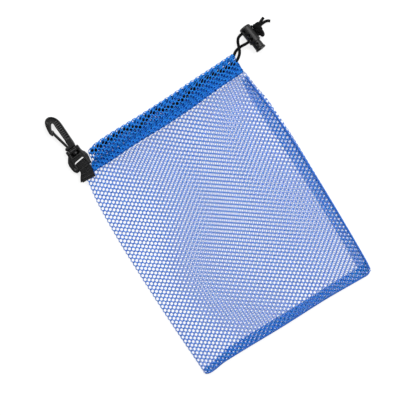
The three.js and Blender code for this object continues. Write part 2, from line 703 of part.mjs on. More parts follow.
const lockGroup = new THREE.Group();
lockGroup.position.set(lockHead.x, lockHead.y, lock.radius);
lockGroup.rotation.z = lockTurn;
bag.add(lockGroup);
addPiece('cord_lock_barrel', lockBarrel(), finishes.blackPlastic, lockGroup);
addPiece('cord_lock_plunger', lockPlunger(), finishes.blackPlastic, lockGroup);

bag.position.set(-planCentre.x, -planCentre.y, 0);
const part = new THREE.Group();
part.add(bag);
part.updateMatrixWorld(true);

export default part;
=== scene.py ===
"""Looks of a mesh dive gear bag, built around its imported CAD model.

The bag lies flat on a pale floor and is seen from above. Its knitted net, hem and seam allowances are
real strands round real holes. The cords are braided, the webbing is woven, and the fittings are moulded.

Lengths are in millimetres until a mesh is made, and then in metres. A point of the plan has +X across the
bag towards the cord lock and +Y from the bottom seam towards the mouth, as in the CAD source. PLAN_CENTRE
is the plan's point at the frame's origin.
"""

import logging
import math
from collections.abc import Callable, Sequence
from dataclasses import dataclass, field
from enum import Enum

import bmesh
import bpy
import numpy as np
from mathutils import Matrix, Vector

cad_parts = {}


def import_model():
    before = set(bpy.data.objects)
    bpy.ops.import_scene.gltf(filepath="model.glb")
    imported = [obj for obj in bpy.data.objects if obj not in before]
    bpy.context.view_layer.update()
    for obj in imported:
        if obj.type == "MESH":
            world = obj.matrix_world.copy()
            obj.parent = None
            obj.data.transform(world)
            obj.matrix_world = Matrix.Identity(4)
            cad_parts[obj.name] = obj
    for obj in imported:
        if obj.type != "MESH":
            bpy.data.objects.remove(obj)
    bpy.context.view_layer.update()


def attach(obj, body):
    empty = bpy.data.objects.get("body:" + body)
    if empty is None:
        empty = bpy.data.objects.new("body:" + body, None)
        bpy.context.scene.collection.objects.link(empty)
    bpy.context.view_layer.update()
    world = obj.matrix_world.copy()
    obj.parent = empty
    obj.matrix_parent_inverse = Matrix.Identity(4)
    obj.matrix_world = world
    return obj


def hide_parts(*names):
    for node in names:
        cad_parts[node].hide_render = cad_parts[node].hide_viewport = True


logging.basicConfig(level=logging.INFO, format="%(message)s")
LOG = logging.getLogger("gear_bag")

MM = 0.001
# Thread under the bag is pressed flat at this height over the floor, in millimetres of the plan
LOWEST = 0.02
PLAN_CENTRE = (-0.11, 27.12)
ROD_SIDES = 32

Array = np.ndarray
Surface = Callable[[Array, Array], Array]


class Body(str, Enum):
    """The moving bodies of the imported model."""

    BAG = "bag"
    EYE = "eye"
    HOOK = "hook"
    GATE = "gate"
    PLUNGER = "plunger"


class Slot(str, Enum):
    """The record's material slots."""

    NETTING = "netting"
    HEM = "hem_cloth"
    WEBBING = "webbing"
    PLASTIC = "black_plastic"
    CORD = "cord_braid"


# Outlines in plan: place along the bag, then the values there. The cloth stands up to 2 mm proud of the
# CAD solids at the right and bottom edges.
SIDES = np.array([
    [-123, -94.2, 102.2], [-110, -94.7, 103.6], [-60, -97.3, 104.4], [0, -99.2, 104.5],
    [40, -99.6, 104.2], [80, -98.2, 102.0], [100, -95.6, 98.5], [116, -94.2, 96.2],
])
BOTTOM_EDGE = np.array([
    [-97, -116], [-94.5, -122.3], [-88, -125.2], [-70, -123.2], [0, -122.7], [50, -121.6],
    [90, -122.3], [98, -122.0], [103.2, -118],
])
HEM_STITCH = np.array([
    [-96, 107.9], [-58, 108.0], [-32, 109.4], [0, 109.7], [33, 111.2], [67, 114.2], [96, 115.8],
])
HEM_TOP = np.array([
    [-84, 128.7], [-77, 130.8], [-69, 132.0], [-26, 132.3], [10, 133.4], [33, 134.8],
    [67, 136.2], [95, 137.9],
])
HEM_LEFT_END = np.array([
    [108, -86.0], [112.0, -85.6], [115.0, -85.2], [115.9, -83.6], [116.8, -81.6], [118.5, -80.9],
    [126, -80.4], [130, -77.8], [132, -73.8],
])
MOUTH_GAP = np.array([
    [-84, 2.4], [-71, 2.4], [-56, 3.6], [-30, 6.0], [45, 6.2], [75, 4.2], [94, 2.6],
])
HEM_PROFILE = np.array([
    [0.0, 1.1], [0.3, 1.3], [0.44, 2.6], [0.7, 2.6], [0.95, 2.5], [1.0, 1.5],
])
SIDE_SEAM_EDGE = np.array([
    [-100, 92], [-50, 92], [0, 91], [40, 89.5], [80, 87.5], [111, 88.5],
])
BOTTOM_SEAM_EDGE = np.array([
    [-90, -118], [-70, -115], [-58, -112], [0, -112], [50, -111], [91, -110.5],
])
SIDE_STITCH = np.array([
    [-117, 103.4], [-100, 103.8], [-40, 103.6], [0, 103.1], [40, 101.9], [60, 100.5],
    [80, 98.7], [100, 95.9], [112, 94.6],
])

# The drawcord's visible places, as in the CAD source
FRONT_RUN = [
    (92.9, 128.4), (86, 127.9), (78, 127.5), (69, 128.6), (60, 129.2), (50, 127.8), (40, 126.2),
    (30, 124.1), (20, 122.9), (12, 123.5), (4, 125.6), (-5, 127.7), (-13.5, 125.3),
    (-20.5, 122.2), (-28, 123.8), (-36, 127.2), (-51.7, 126.9), (-64.5, 126.3),
]
BACK_RUN = [
    (-65, 127.3), (-55, 128.2), (-36, 128.4), (-20, 128.4), (-3, 129.6), (10, 130.0),
    (29, 130.8), (47, 131.2), (62, 132.0), (82, 133.4), (92.9, 134.0),
]
STRAND_A = [
    (93.8, 134.1, 2.6), (94.6, 134.5, 2.5), (96.4, 136.1, 2.1), (98.6, 137.6, 1.7),
    (101.6, 138.7, 1.55), (104.6, 139.1, 2.1), (107.2, 139.1, 3.5), (109.8, 138.8, 5.1),
    (112.2, 138.7, 5.9), (114.0, 138.8, 6.1), (120.0, 139.6, 6.1), (126.1, 140.3, 6.1),
    (127.2, 140.5, 6.1),
]
STRAND_B = [
    (93.7, 128.4, 10.4), (94.6, 128.7, 10.3), (96.6, 129.9, 9.4), (98.6, 131.4, 8.0),
    (100.6, 133.4, 6.5), (102.2, 136.0, 5.4), (103.4, 139.2, 5.2), (104.5, 142.4, 5.4),
    (105.9, 145.4, 5.7), (108.0, 147.8, 6.0), (110.6, 148.8, 6.1), (112.7, 149.1, 6.1),
    (118.7, 149.9, 6.1), (124.8, 150.6, 6.1), (125.9, 150.8, 6.1),
]
TAIL_A = [(133.0, 149.2, 4.4), (135.0, 150.1, 3.4), (137.6, 151.3, 2.2), (140.1, 152.5, 1.7)]
TAIL_B = [
    (133.2, 147.4, 3.6), (136.0, 147.9, 2.6), (139.2, 148.2, 1.8), (142.2, 147.6, 1.6),
    (144.3, 146.0, 1.6),
]


def lookup(table: Array, at: Array, column: int = 1) -> Array:
    """Smooth value of a table's column at places along its first column.

    A cubic runs through the rows, with the slope at a row that of the line from the row before it to
    the row after it. Past the ends the value is held flat.

    Args:
        table: Rows sorted by their first column.
        at: Places to look up.
        column: The column of the value.

    Returns:
        The values, in the shape of the places.
    """
    keys = table[:, 0].astype(float)
    values = table[:, column].astype(float)
    last = len(keys) - 1
    x = np.clip(np.asarray(at, float), keys[0], keys[-1])
    i = np.clip(np.searchsorted(keys, x, side="left") - 1, 0, last - 1)
    before, after = np.maximum(i - 1, 0), np.minimum(i + 2, last)
    span = keys[i + 1] - keys[i]
    t = (x - keys[i]) / span
    leave = span * (values[i + 1] - values[before]) / (keys[i + 1] - keys[before])
    arrive = span * (values[after] - values[i]) / (keys[after] - keys[i])
    t2, t3 = t * t, t * t * t
    return (
        (2 * t3 - 3 * t2 + 1) * values[i] + (t3 - 2 * t2 + t) * leave
        + (3 * t2 - 2 * t3) * values[i + 1] + (t3 - t2) * arrive
    )


def smoothstep(x: Array, low: float, high: float) -> Array:
    """0 below low, 1 above high, and a smooth rise between them."""
    t = np.clip((np.asarray(x, float) - low) / (high - low), 0, 1)
    return t * t * (3 - 2 * t)


def lerp(a: Array | float, b: Array | float, t: Array | float) -> Array:
    """The value that lies a share t of the way from a to b."""
    return a + (b - a) * t


def stack(x: Array, y: Array, z: Array) -> Array:
    """Three arrays of coordinates as one array of points."""
    x, y, z = np.broadcast_arrays(x, y, z)
    return np.stack([x, y, z], axis=-1)


def in_frame(points: Array) -> Array:
    """Plan millimetres as metres in the frame."""
    return (np.asarray(points, float) - np.array([*PLAN_CENTRE, 0.0])) * MM


def distances(path: Array) -> Array:
    """How far each point of a path lies along it, from 0 at the first."""
    return np.concatenate([[0], np.cumsum(np.linalg.norm(np.diff(path, axis=0), axis=1))])


def spread(line: Array, run: Array, at: Array) -> Array:
    """The points of a line at some distances, from the distance of each of its own points."""
    return np.stack([np.interp(at, run, line[:, k]) for k in range(line.shape[1])], axis=-1)


def smooth_path(points: Sequence[Sequence[float]], step: float) -> Array:
    """A Catmull-Rom curve through points, sampled at even distances.

    Args:
        points: The points, in millimetres.
        step: Distance between samples, in millimetres.

    Returns:
        The samples, one row each, with both ends among them.
    """
    p = np.asarray(points, float)
    ends = np.vstack([2 * p[0] - p[1], p, 2 * p[-1] - p[-2]])
    t = np.linspace(0, 1, 24, endpoint=False)[:, None]
    pieces = []
    for a, b, c, d in zip(ends[:-3], ends[1:-2], ends[2:-1], ends[3:]):
        pieces.append(0.5 * (
            2 * b + (c - a) * t + (2 * a - 5 * b + 4 * c - d) * t**2 + (3 * b - a - 3 * c + d) * t**3
        ))
    dense = np.vstack([*pieces, p[-1:]])
    run = distances(dense)
    count = max(int(round(run[-1] / step)), 2) + 1
    return spread(dense, run, np.linspace(0, run[-1], count))


def path_frames(path: Array, closed: bool = False) -> tuple[Array, Array, Array]:
    """Directions along and across a path that twist as little as they can.

    Args:
        path: Points along the path.
        closed: Whether the last point joins the first.

    Returns:
        The tangents, and two directions square to them and to each other.
    """
    if closed:
        tangent = np.roll(path, -1, axis=0) - np.roll(path, 1, axis=0)
    else:
        tangent = np.gradient(path, axis=0)
    tangent /= np.linalg.norm(tangent, axis=1)[:, None]
    side = np.empty_like(path)
    guess = np.array([0.0, 0.0, 1.0])
    if abs(tangent[0] @ guess) > 0.9:
        guess = np.array([0.0, 1.0, 0.0])
    for i, direction in enumerate(tangent):
        guess = guess - direction * (guess @ direction)
        guess /= np.linalg.norm(guess)
        side[i] = guess
    return tangent, side, np.cross(tangent, side)


@dataclass
class MeshData:
    """Vertices in plan millimetres, faces as vertex numbers, and optional UVs for each vertex."""

    points: Array
    faces: list
    uv: Array | None = None

    def piece(self, name: str, material: bpy.types.Material) -> bpy.types.Object:
        """Makes the Blender object, shaded smooth.

        Args:
            name: The piece's name.
            material: Its finish.

        Returns:
            The object, at the origin, with its place in its mesh.
        """
        shifted = in_frame(self.points)
        mesh = bpy.data.meshes.new(name)
        loops = np.concatenate([np.asarray(f, np.int32).ravel() for f in self.faces])
        sizes = np.concatenate([np.full(len(f), np.shape(f)[1], np.int32) for f in self.faces])
        starts = np.concatenate([[0], np.cumsum(sizes)[:-1]]).astype(np.int32)
        mesh.vertices.add(len(shifted))
        mesh.vertices.foreach_set("co", shifted.astype(np.float32).ravel())
        mesh.loops.add(len(loops))
        mesh.loops.foreach_set("vertex_index", loops)
        mesh.polygons.add(len(sizes))
        mesh.polygons.foreach_set("loop_start", starts)
        mesh.polygons.foreach_set("use_smooth", np.full(len(sizes), True))
        mesh.update(calc_edges=True)
        if self.uv is not None:
            layer = mesh.uv_layers.new(name="fabric")
            layer.data.foreach_set("uv", self.uv[loops].astype(np.float32).ravel())
        mesh.validate()
        obj = bpy.data.objects.new(name, mesh)
        bpy.context.scene.collection.objects.link(obj)
        mesh.materials.append(material)
        return obj


def join(parts: Sequence[MeshData]) -> MeshData:
    """Several meshes as one.

    Args:
        parts: The meshes, joined without UVs where one has none.

    Returns:
        The joined mesh.
    """
    offset, faces = 0, []
    for part in parts:
        faces += [np.asarray(f) + offset for f in part.faces]
        offset += len(part.points)
    uvs = None if any(p.uv is None for p in parts) else np.vstack([p.uv for p in parts])
    return MeshData(np.vstack([p.points for p in parts]), faces, uvs)


def grid_faces(rows: int, columns: int, wrap: bool) -> Array:
    """Quads over a grid of points, row by row.

    Args:
        rows: Number of rows.
        columns: Number of points in a row.
        wrap: Whether each row closes on itself.

    Returns:
        One row of four vertex numbers for each quad.
    """
    c = np.arange(columns if wrap else columns - 1)
    r = np.arange(rows - 1)[:, None]
    here, following = r * columns + c, r * columns + (c + 1) % columns
    return np.stack([here, following, following + columns, here + columns], -1).reshape(-1, 4)


def tube(path: Array, radius: float, around: int, relief: Callable[[Array, Array], Array] | None = None,
         closed: bool = False) -> MeshData:
    """A round cord along a path, with closed ends.

    Each ring is a circle square to the path, and the relief adds to its radius by angle and distance.

    Args:
        path: Points along the cord's middle, evenly spaced.
        radius: The cord's radius.
        around: Points in a ring.
        relief: Height over the radius at an angle and a distance along the cord.
        closed: Whether the path is a loop.

    Returns:
        The mesh, whose UVs are the angle as a share of a turn and the distance in millimetres.
    """
    _, side, other = path_frames(path, closed)
    angle = np.linspace(0, 2 * math.pi, around, endpoint=False)
    theta, distance = np.meshgrid(angle, distances(path))
    reach = radius + (relief(theta, distance) if relief else 0 * theta)
    points = (
        path[:, None, :] + side[:, None, :] * (reach * np.cos(theta))[..., None]
        + other[:, None, :] * (reach * np.sin(theta))[..., None]
    ).reshape(-1, 3)
    uv = np.stack([theta / (2 * math.pi), distance], -1).reshape(-1, 2)
    walls = grid_faces(len(path), around, True)
    last = (len(path) - 1) * around
    c = np.arange(around)
    following = (c + 1) % around
    if closed:
        return MeshData(points, [walls, np.stack([last + c, last + following, following, c], -1)], uv)
    ended = np.vstack([points, path[0], path[-1]])
    first = np.stack([following, c, np.full(around, len(points))], -1)
    end = np.stack([last + c, last + following, np.full(around, len(points) + 1)], -1)
    return MeshData(ended, [walls, first, end], np.vstack([uv, uv[:1], uv[-1:]]))


@dataclass(frozen=True)
class BraidRelief:
    """Plaited surface of a cord: rows of long bumps that cross in two directions."""

    strands: int = 8
    pitch: float = 6.4
    height: float = 0.16
    level: float = 0.75

    def __call__(self, theta: Array, distance: Array) -> Array:
        """The root of the product of two sines that wind opposite ways, less its mean level.

        Args:
            theta: Angles round the cord.
            distance: Distances along it.

        Returns:
            Heights over the cord's radius.
        """
        turn = 2 * math.pi * distance / self.pitch * self.strands / 4
        one = np.abs(np.sin(self.strands * theta / 2 + turn))
        two = np.abs(np.sin(self.strands * theta / 2 - turn))
        return self.height * (np.sqrt(one * two) - self.level)


@dataclass(frozen=True)
class Knit:
    """The net's lattice: round holes in a honeycomb of yarn.

    Hole centres lie half_x and half_y from their diagonal neighbours. Each cell is a ring of twelve
    points round its hole, joined above and below to the twelve corners and middles of the yarns around.
    """

    half_x: float = 3.11
    half_y: float = 2.30
    hole_x: float = 1.52
    hole_y: float = 1.55
    strand: float = 0.34
    knuckle: float = 0.42
    slope_step: float = 0.05

    @property
    def yarn_share(self) -> float:
        """Share of the flat net that is yarn rather than hole."""
        return 1 - math.pi * self.hole_x * self.hole_y / (2 * self.half_x * self.half_y)

    def cells(self, low: tuple[float, float], high: tuple[float, float],
              keep: Callable[[Array, Array], Array]) -> Array:
        """Lattice numbers of the holes inside a region.

        Args:
            low: The least fabric coordinates.
            high: The greatest fabric coordinates.
            keep: Says which hole centres are in the region.

        Returns:
            Two whole numbers for each hole.
        """
        i = np.arange(math.floor(low[0] / self.half_x), math.ceil(high[0] / self.half_x) + 1)
        j = np.arange(math.floor(low[1] / self.half_y), math.ceil(high[1] / self.half_y) + 1)
        ii, jj = (a.ravel() for a in np.meshgrid(i, j, indexing="ij"))
        even = (ii + jj) % 2 == 0
        ii, jj = ii[even], jj[even]
        chosen = keep(ii * self.half_x, jj * self.half_y)
        return np.stack([ii[chosen], jj[chosen]], 1)

    def sheet(self, cells: Array, surface: Surface, thickness: float = 1.0,
              trim: Callable[[Array], Array] | None = None) -> MeshData:
        """The net over some cells, laid on a surface.

        Args:
            cells: Lattice numbers of the holes.
            surface: Takes two fabric coordinates to points in plan millimetres.
            thickness: Share of the full yarn thickness.
            trim: Pulls points that lie past the cloth's edge back to it.

        Returns:
            The closed mesh, whose UVs are the fabric coordinates.
        """
        corner_x = np.array([4, 3, 2, 0, -2, -3, -4, -3, -2, 0, 2, 3])
        corner_y = np.array([0, 1, 2, 2, 2, 1, 0, -1, -2, -2, -2, -1])
        key = np.stack([6 * cells[:, :1] + corner_x, 2 * cells[:, 1:] + corner_y], -1).reshape(-1, 2)
        unique, number = np.unique(key, axis=0, return_inverse=True)
        number = number.reshape(-1, 12)
        ridge = unique * np.array([self.half_x / 6, self.half_y / 2])
        pillar = (unique[:, 0] % 6 == 0) & (unique[:, 1] % 2 == 0)
        height = np.where(pillar, self.knuckle, self.strand) * thickness
        angle = 2 * math.pi * np.arange(12) / 12
        middle = cells * np.array([self.half_x, self.half_y])
        hole = middle[:, None, :] + np.stack(
            [self.hole_x * np.cos(angle), self.hole_y * np.sin(angle)], -1)[None]
        flat = np.vstack([ridge, ridge, hole.reshape(-1, 2)])
        lift = np.concatenate([height, -height, np.zeros(hole.shape[0] * 12)])
        a, b = flat[:, 0], flat[:, 1]
        near = self.slope_step
        along = surface(a + near, b) - surface(a - near, b)
        across = surface(a, b + near) - surface(a, b - near)
        normal = np.cross(along, across)
        normal /= np.maximum(np.linalg.norm(normal, axis=1), 1e-9)[:, None]
        points = surface(a, b) + normal * lift[:, None]
        if trim:
            points = trim(points)
        count = len(ridge)
        ring = 2 * count + np.arange(len(cells) * 12).reshape(-1, 12)
        after = np.roll(np.arange(12), -1)
        above = np.stack([ring, ring[:, after], number[:, after], number], -1)
        below = np.stack([number + count, number[:, after] + count, ring[:, after], ring], -1)
        edges = np.stack([number, number[:, after]], -1).reshape(-1, 2)
        owner = np.sort(edges, axis=1)
        _, first, uses = np.unique(owner, axis=0, return_index=True, return_counts=True)
        rim = edges[first[uses == 1]]
        walls = np.stack([rim[:, 0], rim[:, 1], rim[:, 1] + count, rim[:, 0] + count], -1)
        faces = [above.reshape(-1, 4)[:, ::-1], below.reshape(-1, 4)[:, ::-1], walls[:, ::-1]]
        return MeshData(points, [np.vstack(faces)], flat)


@dataclass
class Pouch:
    """The knitted pouch: one net folded at the left side, with its front and back sewn together."""

    knit: Knit = field(default_factory=Knit)
    wall: float = 0.8
    left_gap: float = 1.2
    seam_gap: float = 2.6
    fill: float = 8.4
    fill_start: float = 8.0
    fill_reach: float = 62.0
    hem_reach: float = 28.0
    roundness: float = 1.6
    casing_depth: float = 5.2
    flatten_from: float = -70.0
    flatten_to: float = -42.0
    tab_lift: float = 1.4
    tab_gap: float = 1.4
    under_tab_x: tuple[float, float] = (78, 84)
    under_tab_y: tuple[float, float] = (88, 101)
    seam_thickness: float = 1.2
    # How far the knit slid round the fold, and how far its rows rise with the distance from it
    fold_slip: tuple[float, float] = (0.75, 0.25)
    back_drift: float = 0.034
    front_drift: float = 0.004
    back_wave: float = 0.7
    back_stretch: float = 1.018
    trim_margin: float = 0.25
    scallop: tuple[float, float] = (0.2, 0.6)
    # Each layer's height in the seam in millimetres, the way that it is turned, and its shift in half cells
    allowance_layers: tuple[tuple[float, float, float, float], ...] = (
        (0.25, 0, 0, 0), (0.62, 1, 1, 0), (1.0, -1, 0.5, 0.5),
    )
    allowance_skew: float = 0.012
    allowance_yarn: float = 0.5

    def clearance(self, x: Array, y: Array) -> Array:
        """Space between front and back: small at the edges, full in the middle, less at three creases.

        Args:
            x: Places across the bag.
            y: Places up the bag.

        Returns:
            The space between the two nets, in millimetres.
        """
        left, right = lookup(SIDES, y), lookup(SIDES, y, 2)
        bottom = lookup(BOTTOM_EDGE, x)
        edge = lerp(self.left_gap, self.seam_gap, smoothstep(x - left, 0, 4))
        full = (
            smoothstep(x - left, 0, self.fill_reach)
            * smoothstep(right - x, self.fill_start, self.fill_reach)
            * smoothstep(y - bottom, self.fill_start, self.fill_reach)
        )
        gap = edge + self.fill * full
        creases = ((x + 4, 1.4, 11), (y - 10, 1.2, 12), (y + 50, 1.1, 12))
        for distance, depth, width in creases:
            gap = gap - depth * full * np.exp(-((distance / width) ** 2))
        return gap

    def flattening(self, x: Array) -> Array:
        """How far the hem has opened out into its full cord channel, from 0 at the left end to 1."""
        return smoothstep(x, self.flatten_from, self.flatten_to)

    def levels(self, x: Array, y: Array) -> tuple[Array, Array]:
        """Height of the back's outside, and the space between back and front, at places in plan.

        Args:
            x: Places across the bag.
            y: Places up the bag.

        Returns:
            The height and the space, in millimetres.
        """
        stitch = lookup(HEM_STITCH, x)
        near = smoothstep(y - stitch, -self.hem_reach, 0)
        pressed = smoothstep(-x, *self.under_tab_x) * smoothstep(y, *self.under_tab_y)
        lift = lerp(2 * HEM_PROFILE[0, 1] - self.wall, self.casing_depth - self.wall, self.flattening(x))
        back = lerp(0, lift, near)
        gap = lerp(self.clearance(x, y), lookup(MOUTH_GAP, x), near)
        back = lerp(back, self.tab_lift, pressed)
        gap = lerp(gap, np.minimum(gap, self.tab_gap), pressed)
        return back, gap

    def outline_factor(self, x: Array, y: Array) -> Array:
        """1 inside the pouch, falling along a quarter circle to 0 at its right and bottom edges.

        Args:
            x: Places across the bag.
            y: Places up the bag.

        Returns:
            The share of the full thickness.
        """
        right = lookup(SIDES, y, 2)
        bottom = lookup(BOTTOM_EDGE, x)
        edge = np.minimum(right - x, y - bottom)
        turn = 1 - np.clip(edge / self.roundness, 0, 1)
        return np.sqrt(np.clip(1 - turn * turn, 0, 1))

    def point(self, x: Array, y: Array, side: Array | float) -> Array:
        """A place on the net's middle surface, on the front where side is 1 and the back where it is -1.

        Args:
            x: Places across the bag.
            y: Places up the bag.
            side: 1 for the front, -1 for the back, and between them round the fold.

        Returns:
            Points in plan millimetres.
        """
        back, gap = self.levels(x, y)
        middle = back + self.wall + gap / 2
        half = (gap / 2 + self.wall / 2) * self.outline_factor(x, y)
        return stack(x, y, middle + side * half)

    def warp(self, a: Array, b: Array) -> tuple[Array, Array]:
        """How the knit lies askew.

        Args:
            a: Distance round the fold, positive on the front.
            b: Distance up the bag.

        Returns:
            How far the knit slid round the fold, a smooth step plus a sine up the bag, and how far its rows
            rise with the distance from the fold, with a product of two sines on the back.
        """
        steady, swaying = self.fold_slip
        slip = steady * smoothstep(-b, -20, 90) + swaying * np.sin(b / 31 + 0.6)
        drift = np.where(a < 0, self.back_drift * (-a) * smoothstep(-a, 0, 60), self.front_drift * a)
        drift = drift + np.where(a < 0, self.back_wave * np.sin(a / 37) * np.sin(b / 29), 0)
        return slip, drift

    def net_surface(self, a: Array, b: Array) -> Array:
        """The folded net: a is the distance round the fold, positive on the front, and b runs up the bag.

        Args:
            a: Distance round the fold, positive on the front.
            b: Distance up the bag.

        Returns:
            Points in plan millimetres.
        """
        slip, drift = self.warp(a, b)
        s = a * np.where(a < 0, self.back_stretch, 1.0) + slip
        y = b + drift
        left = lookup(SIDES, y)
        quarter = self.roundness * math.pi / 2
        turn = np.clip(s / self.roundness, -math.pi / 2, math.pi / 2)
        x = left + self.roundness * (1 - np.cos(turn)) + np.maximum(np.abs(s) - quarter, 0)
        return self.point(x, y, np.sin(turn))

    def inside(self, x: Array, y: Array, margin: float) -> Array:
        """Whether places in plan lie on the pouch, a margin inside its right and bottom edges.

        Args:
            x: Places across the bag.
            y: Places up the bag.
            margin: Distance from the edges, below 0 for places outside them.

        Returns:
            Yes or no for each place.
        """
        return (
            (x < lookup(SIDES, y, 2) - margin) & (y > lookup(BOTTOM_EDGE, x) + margin)
            & (y < lookup(HEM_STITCH, x) + 1.0)
        )

    def net(self, front: bool) -> MeshData:
        """The front or the back of the pouch as strands round holes.

        Args:
            front: Which of the two.

        Returns:
            The closed mesh.
        """
        def keep(a: Array, b: Array) -> Array:
            """Whether a hole lies on this half of the pouch."""
            place = self.net_surface(a, b)
            half = a > 0 if front else a <= 0
            return half & self.inside(place[..., 0], place[..., 1], -0.9)

        low, high = ((-1.0, -130.0), (215.0, 125.0)) if front else ((-215.0, -130.0), (1.0, 125.0))
        return self.knit.sheet(self.knit.cells(low, high, keep), self.net_surface, trim=self.trim)

    def trim(self, points: Array) -> Array:
        """Points pulled back inside the right and bottom edges, where the sewing holds them.

        The right edge is scalloped row by row with the size of a sine, more so above the seam's middle.

        Args:
            points: Points in plan millimetres.

        Returns:
            The points, moved in plan where they lie past an edge.
        """
        x, y, z = points.T
        y = np.maximum(y, lookup(BOTTOM_EDGE, x) + self.trim_margin)
        bite = lerp(*self.scallop, smoothstep(y, -40, 10))
        row = np.abs(np.sin(math.pi * y / (2 * self.knit.half_y)))
        x = np.minimum(x, lookup(SIDES, y, 2) - self.trim_margin - bite * (1 - row))
        return stack(x, y, z)

    def seam_level(self, x: Array, y: Array) -> Array:
        """Height of the lower face of the seam allowances inside the pouch."""
        back, _ = self.levels(x, y)
        return back + self.wall + (self.seam_gap - self.seam_thickness) / 2

    def allowance(self, keep: Callable[[Array, Array], Array], low: tuple[float, float],
                  high: tuple[float, float], turn: float, trim: Callable[[Array], Array]) -> MeshData:
        """Three layers of net inside a seam, each laid over the holes of the one below.

        Args:
            keep: Says which places in plan the layers cover.
            low: The least place in plan.
            high: The greatest place in plan.
            turn: How far the upper layers' lattices are turned from the lowest one's, in radians.
            trim: Pulls points back inside the layers' edges.

        Returns:
            The layers as one mesh.
        """
        spare = 12
        wide_low, wide_high = (low[0] - spare, low[1] - spare), (high[0] + spare, high[1] + spare)
        layers = []
        for rise, way, cells_right, cells_up in self.allowance_layers:
            angle = self.allowance_skew + way * turn
            c, s = math.cos(angle), math.sin(angle)
            right, up = cells_right * self.knit.half_x, cells_up * self.knit.half_y

            def surface(a: Array, b: Array, rise: float = rise, c: float = c, s: float = s,
                        right: float = right, up: float = up) -> Array:
                """This layer's lattice, turned and shifted in plan, at its height in the seam."""
                x, y = c * a - s * b + right, s * a + c * b + up
                return stack(x, y, self.seam_level(x, y) + rise)

            def inside(a: Array, b: Array, surface: Surface = surface) -> Array:
                """Whether a hole of this layer is kept."""
                place = surface(a, b)
                return keep(place[..., 0], place[..., 1])

            cells = self.knit.cells(wide_low, wide_high, inside)
            layers.append(self.knit.sheet(cells, surface, self.allowance_yarn, trim))
        return join(layers)

    def side_allowance(self) -> MeshData:
        """The turned-in net along the right seam.

        Returns:
            The layers as one mesh.
        """
        def keep(x: Array, y: Array) -> Array:
            """Whether a place is between the allowance's edge and the right seam's stitches."""
            return (
                (x > lookup(SIDE_SEAM_EDGE, y) - 0.6) & (x < self.stitch_x(y) + 0.9)
                & (y > -119) & (y < 110)
            )

        def trim(points: Array) -> Array:
            """Points held between the allowance's edge and the stitches."""
            x, y, z = points.T
            return stack(np.clip(x, lookup(SIDE_SEAM_EDGE, y), self.stitch_x(y) + 0.4), y, z)

        return self.allowance(keep, (84, -122), (105, 112), 0.010, trim)

    def bottom_allowance(self) -> MeshData:
        """The turned-in net along the bottom seam.

        Returns:
            The layers as one mesh.
        """
        def keep(x: Array, y: Array) -> Array:
            """Whether a place is between the pouch's bottom edge and the allowance's."""
            return (
                (y < lookup(BOTTOM_SEAM_EDGE, x) + 0.6) & (y > lookup(BOTTOM_EDGE, x) + 0.2)
                & (x > -93) & (x < lookup(SIDES, y, 2) - 0.8)
            )

        def trim(points: Array) -> Array:
            """Points held between the pouch's edges and the allowance's."""
            x, y, z = points.T
            x = np.clip(x, lookup(SIDES, y) + 1.4, lookup(SIDES, y, 2) - 0.9)
            low = lookup(BOTTOM_EDGE, x) + 0.8
            return stack(x, np.clip(y, low, np.maximum(lookup(BOTTOM_SEAM_EDGE, x), low)), z)

        return self.allowance(keep, (-96, -127), (104, -108), -0.012, trim)

    def stitch_x(self, y: Array) -> Array:
        """Where the right seam's stitches cross a height of the bag."""
        return np.minimum(lookup(SIDE_STITCH, y), lookup(SIDES, y, 2) - 0.9)


